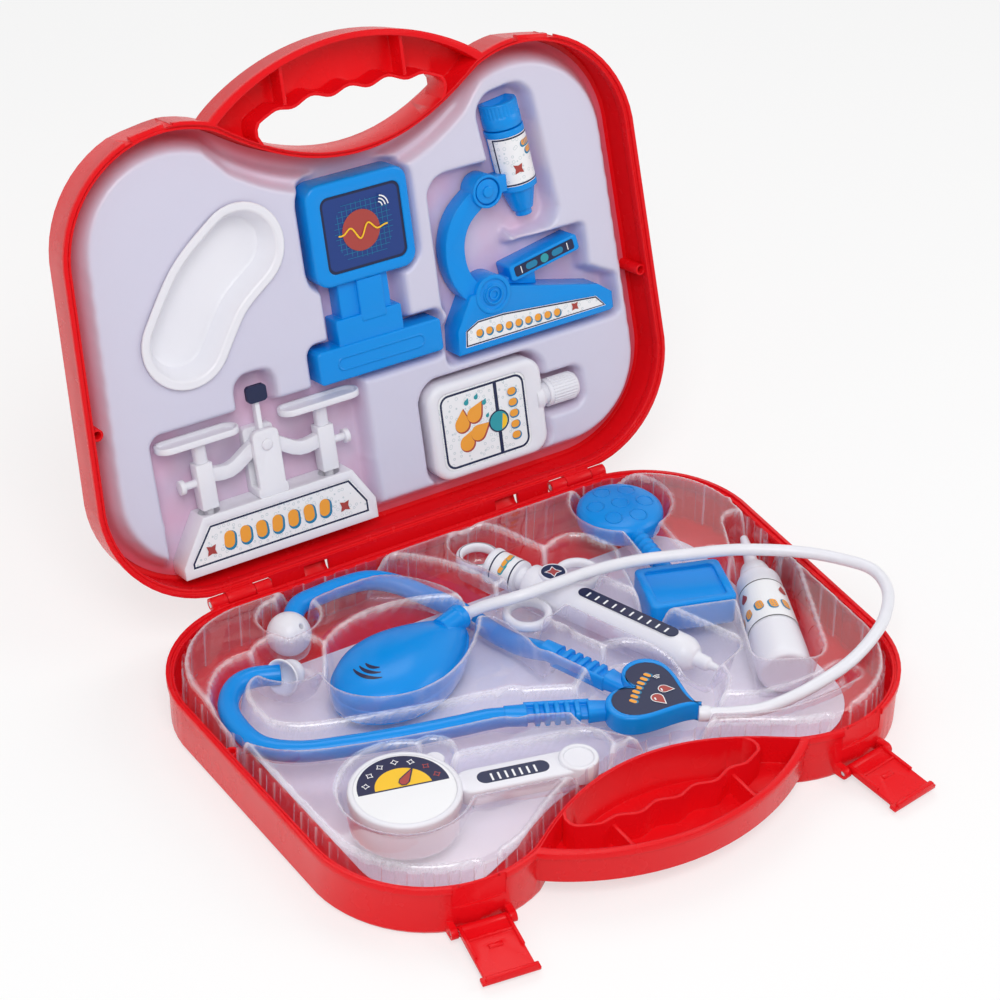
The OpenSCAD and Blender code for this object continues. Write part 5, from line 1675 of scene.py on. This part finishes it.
@dataclass
class SprayBottle(Assembly):
    """The nose spray: bottle, stepped nozzle and wrap label."""

    at: tuple = (141, -72, 16)
    turn: float = -116.0

    def build(self) -> None:
        """Makes every piece."""
        axis = self.case.base @ Matrix.Translation(self.at) @ Matrix.Rotation(math.radians(self.turn), 4, "Z") @ Matrix.Rotation(
            math.radians(90), 4, "Y"
        )
        bottle = Form().turned(
            [(0, 34), (7.4, 34), (7.9, 35.4), (9.7, 36.6), (10.5, 38.6), (10.7, 42), (11.3, 60), (12.2, 84), (12.5, 92),
             (12.5, 100), (12.0, 103), (10.6, 105), (8.5, 104.6), (0, 103.6)], None, 56, 0.9,
        )
        self.piece(bottle, "spray_bottle_turned", Body.BASE, Slot.WHITE, axis, ["spray_bottle", "spray_label"])
        nozzle = Form().turned(
            [(0, 0), (1.3, 0), (1.9, 0.7), (2.2, 4), (3.5, 23), (4.0, 24.2), (6.2, 26.2), (7.0, 29), (7.5, 31), (7.5, 34.2),
             (0, 34.2)], None, 48, 0.6,
        )
        self.piece(nozzle, "spray_nozzle_turned", Body.BASE, Slot.WHITE, axis, ["spray_nozzle"])
        label = Sticker("spray_label_print", Body.BASE, Slot.WHITE_PRINT)
        wide = 44.0
        label.fill(Ink.WHITE, rounded_rect(30, wide, 0.5, 2))
        for x in (-14.4, 14.4):
            label.fill(Ink.BLACK, moved(rounded_rect(0.7, wide, 0.2, 2), x, 0))
        for k in range(5):
            y = -15 + 6.6 * k
            label.fill(Ink.SKY, pill(4.4 + (k % 2) * 1.2, y - 0.4, 7.2, 4.6, 8))
            label.fill(Ink.ORANGE, pill(4.0 + (k % 2) * 1.2, y, 6.2, 3.6, 8))
        for y in (-9, 12):
            label.fill(Ink.BRICK, drop(-6.5, y, 4.4, 90))

        def wrap(x: float, y: float, h: float) -> Vector:
            """Round the bottle, y as arc length with 0 at the top."""
            rad = 11.06 + (x + 15) * 0.037 + h
            a = y / 11.8 - 0.35
            return Vector((-rad * math.cos(a), rad * math.sin(a), 63 + x))

        label.print(self.shop, wrap, axis, 2.0)


@dataclass
class Gauge(Assembly):
    """Pressure gauge: dial head, arm with its strip and the open cuff below."""

    at: tuple = (-96.5, -158.4)
    turn: float = -14.0
    z: float = 10.0

    def build(self) -> None:
        """Makes every piece."""
        z = self.z
        place = self.case.base @ Matrix.Translation((*self.at, 0)) @ Matrix.Rotation(math.radians(self.turn), 4, "Z")
        head = Form().prism(circle(24, 72), z + 13, z + 19, 1.4, 0.6, (circle(21.5, 72), 0.6))
        head.prism(moved(rounded_rect(60, 15, 7), 52, 0), z + 8, z + 16, 1.2, 0.8)
        head.prism(circle(8.6, 48, 76, 0), z + 8.2, z + 17.4, 1.0, 0.6, (circle(6.4, 48, 76, 0), 0.8))
        head.prism(circle(4.5, 32, 18, 18), z + 13, z + 16.2, 1.0, 0.6)
        self.piece(head, "gauge_head", Body.BASE, Slot.WHITE, place, ["gauge_body", "gauge_face", "gauge_strip"])
        arc = CaseFrame.arc
        gap = 38.0
        outer = arc(0, 0, 23, gap, 360 - gap, 60)
        inner = arc(0, 0, 20.6, gap, 360 - gap, 60)
        ends = list(reversed(inner))
        cuff = Form().prism(outer + ends, z, z + 13, 0.9, 0.9)
        for a in (gap, 360 - gap):
            cx, cy = 21.8 * math.cos(math.radians(a)), 21.8 * math.sin(math.radians(a))
            cuff.prism(circle(2.1, 24, cx, cy), z + 0.2, z + 12.6, 0.8, 0.8)
        self.piece(cuff, "gauge_cuff_band", Body.BASE, Slot.WHITE, place, ["gauge_cuff"])
        self.prints(place)

    def prints(self, place: Matrix) -> None:
        """Half dial with a scale, pointer and the arm's strip."""
        z = self.z
        arc = CaseFrame.arc
        dial = Sticker("gauge_dial_print", Body.BASE, Slot.NAVY_PRINT, lift=0.05)
        # the lower half of the face is the bare white rim, as moulded
        dial.fill(Ink.WHITE, circle(21.4, 64))
        dial.fill(Ink.NAVY, arc(0, 1.5, 19.6, 4, 180, 40) + [(-19.6, 1.0), (19.5, 1.0)])
        dial.fill(Ink.YELLOW, arc(0, 1.2, 12.2, 3, 177, 32))
        for a in range(14, 180, 25):
            c, s = math.cos(math.radians(a)), math.sin(math.radians(a))
            dial.fill(Ink.BRICK if a < 60 else Ink.WHITE, star(15.8 * c, 1.5 + 15.8 * s, 1.9, 4, 0.55, a))
            dial.fill(Ink.NAVY, star(15.8 * c, 1.5 + 15.8 * s, 1.25, 4, 0.55, a))
        needle = [(0.0, 9.5), (-2.1, 1.2), (-1.6, -0.9), (0.0, -1.8), (1.6, -0.9), (2.1, 1.2)]
        dial.fill(Ink.NAVY, moved(needle, 0.5, 4.0, -38, 1.15))
        dial.fill(Ink.BRICK, moved(needle, 0.5, 4.0, -38, 0.9))
        dial.print(self.shop, lambda x, y, h: Vector((x, y, z + 18.45 + h)), place)
        strip = Sticker("gauge_strip_print", Body.BASE, Slot.NAVY_PRINT)
        strip.fill(Ink.NAVY, moved(rounded_rect(31.6, 7.6, 3.7), 47, 0))
        strip.print(self.shop, lambda x, y, h: Vector((x, y, z + 16.0 + h)), place)
        repeat_piece(self.shop, "gauge_ticks", False, Body.BASE, Slot.NAVY_PRINT, self.shop.ink(Ink.WHITE),
                     place @ Matrix.Translation((37.5, -0.6, z + 16.1)), Count=7, Span=19, Width=0.9, Length=4.4, Height=0.06)


# ---------------------------------------------------------------- toys in the lid


@dataclass
class KidneyDish(Assembly):
    """The shallow kidney dish with its rolled flange."""

    path: tuple = ((-61, 156, 0), (-79, 142, 0), (-94, 121, 0))
    reach: float = 21.4

    def outline(self, r: float, sway: float = 0.0, n: int = 24) -> list[tuple[float, float]]:
        """The bean: a capsule along a bent spine, with a waist on its inner side."""
        spine = smooth_route(self.path, n)
        last = len(spine) - 1
        left, right = [], []
        for i, p in enumerate(spine):
            t = (spine[min(i + 1, last)] - spine[max(i - 1, 0)]).normalized()
            share = i / last
            waist = sway * math.sin(math.pi * share) ** 2
            left.append((p.x - t.y * (r - waist), p.y + t.x * (r - waist)))
            right.append((p.x + t.y * r, p.y - t.x * r))
        t0, t1 = (spine[1] - spine[0]).normalized(), (spine[-1] - spine[-2]).normalized()
        a0, a1 = math.degrees(math.atan2(t0.y, t0.x)), math.degrees(math.atan2(t1.y, t1.x))
        end = CaseFrame.arc(spine[-1].x, spine[-1].y, r, a1 + 90, a1 - 90, 18)[1:-1]
        start = CaseFrame.arc(spine[0].x, spine[0].y, r, a0 - 90, a0 - 270, 18)[1:-1]
        return (left + end + right[::-1] + start)[::-1]

    def build(self) -> None:
        """Makes the dish."""
        top, floor = self.case.lid_plateau + 2.3, self.case.pocket_w
        levels = [
            (21.0, top - 1.6), (21.4, top - 0.8), (21.2, top - 0.2), (20.7, top), (18.0, top - 0.2), (17.2, top - 0.7),
            (16.6, top - 1.8), (13.2, floor + 2.6), (12.6, floor + 2.1), (12.0, floor + 1.9), (8.0, floor + 1.8),
        ]
        inside = [[(x, y, w) for x, y in self.outline(r, 0)] for r, w in levels]
        under = [
            [(x, y, w) for x, y in self.outline(r, 0)]
            for r, w in ((12.0, floor + 0.1), (14.2, floor + 0.6), (16.0, floor + 3.0), (16.6, top - 2.6), (20.2, top - 2.2))
        ]
        form = Form().loft(under + inside)
        self.piece(form, "kidney_dish_moulded", Body.LID, Slot.WHITE, self.case.lid, ["kidney_dish"], 24)


@dataclass
class Monitor(Assembly):
    """The toy monitor: bezel, screen print and stand."""

    def build(self) -> None:
        """Makes every piece."""
        case, place = self.case, self.case.lid
        back, front = case.pocket_w, case.tool_w
        head = Form().prism(moved(rounded_rect(52, 48, 7), -1, 151), back, front, 1.5, 0.6,
                            (moved(rounded_rect(41, 36, 4), 0.2, 150.4), 1.6))
        self.piece(head, "monitor_bezel", Body.LID, Slot.BLUE, place, ["monitor_head"])
        stand = Form()
        stand.prism(moved(rounded_rect(26, 22, 1), -3, 116), back, front - 3.4, 0.7, 0.3)
        stand.prism(moved(rounded_rect(13, 20, 1), -0.5, 117), back, front - 1.2, 0.7, 0.3)
        stand.prism(moved(rounded_rect(34, 13, 1), -3, 104), back, front - 1.5, 0.8, 0.3)
        stand.prism(moved(rounded_rect(65, 16, 2), 0, 90.5), back, front, 1.1, 0.5)
        slot = moved(rounded_rect(46, 6.5, 3.2), 0, 90.5)
        stand.band(slot, inset_of(slot, 0.7), front - 0.6, front + 0.35, 0.3)
        self.piece(stand, "monitor_stand_moulded", Body.LID, Slot.BLUE, place, ["monitor_stand"])
        self.dress(Slot.NAVY_PRINT, "monitor_screen")
        self.screen(place)

    def screen(self, place: Matrix) -> None:
        """The screen print: a teal grid, a round emblem, a yellow wave and three short arcs."""
        art = Sticker("monitor_print", Body.LID, Slot.NAVY_PRINT)
        art.fill(Ink.NAVY, rounded_rect(40, 35, 3.6)).fill(Ink.ROYAL, rounded_rect(38.4, 33.4, 3))
        for k in range(11):
            x = -12.5 + 2.5 * k
            art.fill(Ink.SKY, moved(rounded_rect(0.2, 27 - 0.06 * x * x, 0.09, 1), x, 0))
        for k in range(11):
            y = -12.5 + 2.5 * k
            art.fill(Ink.SKY, moved(rounded_rect(30 - 0.06 * y * y, 0.2, 0.09, 1), 0, y))
        art.fill(Ink.BRICK, moved(circle(9.6, 40), -1.6, -0.6))
        wave = [(x, -0.6 + 3.6 * math.sin(x * 0.62) * math.exp(-((x + 1.6) / 7.5) ** 2)) for x in np.linspace(-13, 11.5, 60)]
        art.stroke(Ink.YELLOW, wave, 0.75)
        for r in (2.2, 3.7, 5.2):
            art.stroke(Ink.WHITE, CaseFrame.arc(8.0, 8.2, r, 5, 75, 7), 0.6)
        art.print(self.shop, lambda x, y, h: Vector((0.2 + x, 150.4 + y, self.case.tool_w - 0.8 + h)), place)


class Microscope(Assembly):
    """The microscope lying on its side."""

    def build(self) -> None:
        """Rounds the moulded pieces and prints the labels."""
        self.soften(Slot.BLUE, Body.LID, 0.5, "microscope_frame", "microscope_tube", "microscope_stage")
        self.soften(Slot.BLUE, Body.KNOB, 0.3, "microscope_knob")
        self.dress(Slot.WHITE_PRINT, "microscope_label", "microscope_tube_label")
        self.dress(Slot.NAVY_PRINT, "microscope_slide")
        place, top = self.case.lid, self.case.tool_w - 0.1
        outline = [(44.3, 80.3), (122.6, 80.3), (117.8, 85.8), (66, 91.2), (52, 91.2), (45.2, 88)]
        art = Sticker("microscope_base_print", Body.LID)
        art.line(Ink.NAVY, outline, 0.7)
        for k in range(9):
            x = 52 + 5.4 * k
            art.fill(Ink.SKY, pill(x + 0.4, 85.0 - 0.035 * (x - 52), 4.2, 4.4, 6))
            art.fill(Ink.ORANGE, pill(x, 85.5 - 0.035 * (x - 52), 3.5, 3.6, 6))
        art.fill(Ink.BRICK, star(105.5, 84.2, 2.6, 4, 0.5, 45))
        art.print(self.shop, lambda x, y, h: Vector((x, y, top + h)), place)
        tube = place @ Matrix.Translation((85.2, 162, -15.4)) @ Matrix.Rotation(math.radians(7.5), 4, "Z")
        label = Sticker("microscope_tube_print", Body.LID)
        label.line(Ink.NAVY, rounded_rect(23.4, 24, 0.4, 2), 0.8)
        label.fill(Ink.SKY, pill(-6.8, 5.9, 3.6, 9.0)).fill(Ink.ORANGE, pill(-7.2, 6.4, 2.8, 8.2))
        label.fill(Ink.SKY, pill(-2.8, 6.4, 3.6, 6.4)).fill(Ink.ORANGE, pill(-3.2, 6.9, 2.8, 5.6))
        label.fill(Ink.BRICK, star(4.0, -2.0, 3.2, 4, 0.5, 45))

        def wrap(x: float, y: float, h: float) -> Vector:
            """Round the tube, y as arc length with 0 at the top."""
            a, rad = y / 9.6, 9.62 + h
            return Vector((rad * math.sin(a), -x, rad * math.cos(a)))

        label.print(self.shop, wrap, tube, 1.6)
        slide = place @ Matrix.Translation((92.4, 111.8, 0)) @ Matrix.Rotation(math.radians(10), 4, "Z")
        glass = Sticker("microscope_slide_print", Body.LID, Slot.NAVY_PRINT)
        glass.fill(Ink.TEAL, moved(circle(2.2, 28), 0, 0, 0, 1.0))
        glass.fill(Ink.SKY, pill(-7.5, 0, 6.5, 3.2)).fill(Ink.SKY, pill(7.5, 0, 6.5, 3.2))
        for x in (-13.4, 13.4):
            glass.fill(Ink.WHITE, pill(x, 0, 0.5, 3.6))
        glass.print(self.shop, lambda x, y, h: Vector((x, y, self.case.tool_w - 0.9 + h)), slide)
        rings = Form()
        for outer, inner in ((4.7, 3.8), (2.7, 1.7)):
            rings.band(circle(outer, 36, 62, 102), circle(inner, 36, 62, 102), self.case.tool_w + 0.2, self.case.tool_w + 1.2, 0.25)
        cup = self.case.pocket_w + 11.0
        rings.band(circle(7.9, 48, 66, 151), circle(6.5, 48, 66, 151), cup, cup + 2.4, 0.4)
        self.piece(rings, "microscope_rings", Body.LID, Slot.BLUE, place)
        self.eyepiece(tube @ Matrix.Rotation(math.radians(90), 4, "X"))

    def eyepiece(self, place: Matrix) -> None:
        """The dished and ribbed eyepiece cup, its back cut flat where it lies on the tray."""
        ribs, sides, cut = 30, 180, self.case.pocket_w + 15.4
        profile = [
            (0.002, -25.0, 0), (3.6, -25.1, 0), (5.6, -25.9, 0), (6.6, -27.2, 0), (7.3, -27.9, 0), (8.2, -28.0, 0),
            (8.9, -27.7, 0), (9.2, -27.1, 0), (9.2, -26.9, 1), (9.2, -21.6, 1), (9.2, -21.4, 0), (9.35, -21.2, 0),
            (9.35, -16.2, 0), (9.1, -15.7, 0), (0.002, -15.7, 0),
        ]
        rings = []
        for r, z, ribbed in profile:
            ring = []
            for k in range(sides):
                a = math.tau * k / sides
                reach = r - 0.32 * ribbed * (0.5 + 0.5 * math.cos(ribs * a)) ** 2
                ring.append((reach * math.cos(a), max(reach * math.sin(a), cut + 0.3 * (9.2 - r)), z))
            rings.append(ring)
        self.piece(Form().loft(rings), "microscope_eyepiece_cup", Body.LID, Slot.BLUE, place, ["microscope_eyepiece"])


class Balance(Assembly):
    """The pan balance: base, post, tilting beam with its pans."""

    def build(self) -> None:
        """Rounds the moulded pieces and prints the label."""
        self.soften(Slot.WHITE, Body.LID, 0.5, "balance_base", "balance_post")
        self.soften(Slot.WHITE, Body.LID, 0.25, "balance_pivot")
        self.soften(Slot.WHITE, Body.BALANCE, 0.35, "balance_beam", "balance_pans")
        self.dress(Slot.WHITE_PRINT, "balance_label")
        self.dress(Slot.NAVY_PRINT, "balance_scale")
        outline = [(-109.5, 16.4), (-18.5, 16.4), (-18.5, 22), (-26.6, 34.6), (-98.4, 34.6), (-109.5, 19)]
        art = Sticker("balance_base_print", Body.LID)
        art.line(Ink.NAVY, outline, 0.9)
        for k in range(7):
            x = -90 + 8.2 * k
            art.fill(Ink.SKY, pill(x + 0.5, 24.6, 6.4, 9.6, -6 + 4 * (k % 3)))
            art.fill(Ink.ORANGE, pill(x, 25.3, 5.3, 8.4, -6 + 4 * (k % 3)))
        for x in (-99.5, -30.5):
            art.fill(Ink.BRICK, star(x, 22.8, 3.4, 4, 0.5, 45))
        top = self.case.tool_w - 0.1
        art.print(self.shop, lambda x, y, h: Vector((x, y, top + h)), self.case.lid)


@dataclass
class GelBottle(Assembly):
    """The gel bottle with its ribbed cap and framed label."""

    cap_r: float = 7.1

    def build(self) -> None:
        """Makes every piece."""
        case, place = self.case, self.case.lid
        back, front = case.pocket_w, case.tool_w
        body = Form()
        outline = moved(rounded_rect(63, 48.5, 9, 10), 51.5, 41.2)
        body.prism(outline, back, front, 2.6, 2.2, (moved(rounded_rect(48.2, 39.2, 5, 10), 49, 41.2), 0.5))
        mid = (back + front + 0.8) / 2
        neck = Matrix.Translation((82, 43.3, mid)) @ Matrix.Rotation(math.radians(90), 4, "Y")
        body.turned([(0, -3), (7.6, -3), (7.4, 0.6), (6.2, 2.2), (5.5, 2.6), (5.4, 17.0), (0, 17.0)], neck, 40, 0.4)
        self.piece(body, "gel_bottle_moulded", Body.LID, Slot.WHITE, place, ["gel_bottle"])
        self.dress(Slot.WHITE_PRINT, "gel_label")
        cap_at = place @ Matrix.Translation((86.6, 43.3, mid)) @ Matrix.Rotation(math.radians(90), 4, "Y")
        cap = Form().turned(
            [(0, 12.6), (5.5, 12.6), (5.5, 0), (6.9, 0), (6.9, 1.6), (6.5, 1.9), (6.5, 15.4), (5.9, 17.0), (0, 17.0)],
            None, 48, 0.25,
        )
        self.piece(cap, "gel_cap_turned", Body.CAP, Slot.WHITE, cap_at, ["gel_cap"])
        repeat_piece(self.shop, "gel_cap_ribs", True, Body.CAP, Slot.WHITE, self.shop.finish(Slot.WHITE),
                     cap_at @ Matrix.Translation((0, 0, 8.8)), Count=28, Span=6.5, Width=0.42, Length=13.0)
        self.label(place, front - 0.1)

    def label(self, place: Matrix, top: float) -> None:
        """A framed label: a leaf spray on the left, a navy bar, a round seal and a coloured row."""
        art = Sticker("gel_label_print", Body.LID)
        frame = moved(rounded_rect(46.5, 37.5, 5), 49, 41.2)
        art.line(Ink.NAVY, frame, 1.1)
        art.fill(Ink.NAVY, moved(rounded_rect(1.9, 36.6, 0.2, 1), 56.4, 41.2))
        for x, y, turn in ((38.0, 33.5, 35), (44.5, 37.0, 62), (36.5, 43.5, 8), (43.5, 46.5, 40)):
            art.fill(Ink.BRICK, drop(x + 0.4, y - 0.4, 8.6, -turn))
            art.fill(Ink.ORANGE, drop(x, y, 7.8, -turn))
        for x, y, s in ((40, 53.5, 2.6), (45.5, 54.8, 2.2), (49.5, 51, 2.4), (50.5, 44, 1.8)):
            art.fill(Ink.TEAL, drop(x, y, s, -30))
        art.fill(Ink.NAVY, moved(circle(5.6, 32), 56.4, 39.5))
        art.fill(Ink.TEAL, moved(circle(4.9, 32), 56.4, 39.5))
        art.fill(Ink.YELLOW, moved(CaseFrame.arc(0, 0, 4.2, -80, 60, 12), 56.8, 39.2))
        for k in range(5):
            art.fill(Ink.SKY, pill(65.3, 29.6 + 5.6 * k, 5.4, 4.4))
            art.fill(Ink.ORANGE, pill(65.0, 30.0 + 5.6 * k, 4.6, 3.6))
        art.print(self.shop, lambda x, y, h: Vector((x, y, top + h)), place)


# ---------------------------------------------------------------- studio


@dataclass
class Studio:
    """Pale floor, soft light and the photograph's camera."""

    azimuth: float = -32.19
    elevation: float = 34.6
    roll: float = 0.69
    distance: float = 1.10902
    focal_px: float = 2532.15
    aim: tuple = (0.0, 0.03401, 0.09032)

    def build(self) -> None:
        """Makes floor, world and lamps."""
        self.floor()
        self.world()
        self.lamp("key_softbox", (-0.55, -0.95, 1.5), 0.95, 16.2)
        self.lamp("fill_softbox", (1.2, -0.7, 0.9), 0.8, 5.0)
        self.lamp("side_softbox", (-1.4, 0.1, 0.55), 0.9, 2.4)
        self.lamp("top_softbox", (0.35, 0.9, 1.6), 1.0, 6.5)

    def camera(self) -> None:
        """Sets the camera from the fit to the photograph."""
        a, e, roll = (math.radians(v) for v in (self.azimuth, self.elevation, self.roll))
        back = Vector((math.sin(a) * math.cos(e), -math.cos(a) * math.cos(e), math.sin(e)))
        right = (-back).cross(Vector((0, 0, 1))).normalized()
        up = right.cross(-back)
        x = right * math.cos(roll) + up * math.sin(roll)
        y = up * math.cos(roll) - right * math.sin(roll)
        data = bpy.data.cameras.new("photo_camera")
        data.sensor_width = 36.0
        data.lens = self.focal_px * 36.0 / 1000.0
        data.clip_start, data.clip_end = 0.05, 20.0
        camera = bpy.data.objects.new("photo_camera", data)
        turn = Matrix((x, y, back)).transposed().to_4x4()
        camera.matrix_world = Matrix.Translation(Vector(self.aim) + back * self.distance) @ turn
        bpy.context.scene.collection.objects.link(camera)
        bpy.context.scene.camera = camera

    def lamp(self, name: str, where: tuple, size: float, power: float) -> None:
        """Adds a square softbox that looks at the case."""
        data = bpy.data.lights.new(name, "AREA")
        data.energy, data.size = power, size
        lamp = bpy.data.objects.new(name, data)
        lamp.location = where
        lamp.rotation_mode = "QUATERNION"
        lamp.rotation_quaternion = (Vector(where) - Vector(self.aim)).to_track_quat("Z", "Y")
        bpy.context.scene.collection.objects.link(lamp)

    @staticmethod
    def looked_at(tree: bpy.types.NodeTree) -> bpy.types.NodeSocket:
        """1 for a ray of the camera, of a mirror or through a clear body, else 0."""
        path = add_node(tree, "ShaderNodeLightPath").outputs
        bounce = add_node(tree, "ShaderNodeMath", {0: path["Is Glossy Ray"], 1: path["Is Transmission Ray"]}, operation="MAXIMUM")
        both = add_node(tree, "ShaderNodeMath", {0: path["Is Camera Ray"], 1: bounce.outputs[0]}, operation="MAXIMUM")
        return both.outputs[0]

    def world(self) -> None:
        """An even pale world, white where the camera or a mirror looks at it."""
        world = bpy.data.worlds.new("studio")
        bpy.context.scene.world = world
        world.use_nodes = True
        tree = world.node_tree
        tree.nodes.clear()
        level = add_node(tree, "ShaderNodeMapRange", {"Value": self.looked_at(tree), "To Min": 0.38, "To Max": 1.0})
        light = add_node(tree, "ShaderNodeBackground", {"Color": linear("FFFFFF"), "Strength": level.outputs["Result"]})
        add_node(tree, "ShaderNodeOutputWorld", {"Surface": light.outputs[0]})

    def floor(self) -> None:
        """A wide pale floor that keeps the shadow."""
        mesh = bpy.data.meshes.new("studio_floor")
        mesh.from_pydata([(-6, -6, 0), (6, -6, 0), (6, 6, 0), (-6, 6, 0)], [], [(0, 1, 2, 3)])
        floor = bpy.data.objects.new("studio_floor", mesh)
        floor.location.z = -0.0002
        bpy.context.scene.collection.objects.link(floor)
        material, tree = new_tree("white_sweep_paper")
        grain = add_node(tree, "ShaderNodeTexNoise", {"Scale": 120.0})
        bump = add_node(tree, "ShaderNodeBump", {"Height": grain.outputs["Fac"], "Distance": 0.0001})
        paper = add_node(tree, "ShaderNodeBsdfDiffuse", {"Color": linear("FAFAFA"), "Normal": bump.outputs["Normal"]})
        white = add_node(tree, "ShaderNodeEmission", {"Color": linear("FFFFFF"), "Strength": 1.0})
        share = add_node(tree, "ShaderNodeMath", {0: self.looked_at(tree), 1: 0.6}, operation="MULTIPLY")
        mixed = add_node(tree, "ShaderNodeMixShader", {0: share.outputs[0], 1: paper.outputs[0], 2: white.outputs[0]})
        add_node(tree, "ShaderNodeOutputMaterial", {"Surface": mixed.outputs[0]})
        mesh.materials.append(material)


def main() -> None:
    """Builds the case's looks in order."""
    logging.basicConfig(level=logging.INFO, format="%(name)s: %(message)s")
    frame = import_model()
    bpy.context.scene.view_settings.view_transform = "Standard"
    studio = Studio()
    studio.camera()
    shop, case = Workshop(), CaseFrame()
    kit = (shop, case, frame["nodes"])
    for part in (
        Stethoscope, Shells, ClearTray, LidTray, Syringe, Lamp, SprayBottle, Gauge, KidneyDish, Monitor, Microscope,
        Balance, GelBottle,
    ):
        part(*kit).build()
        log.info("%s done", part.__name__)
    studio.build()


if __name__ == "__main__":
    main()
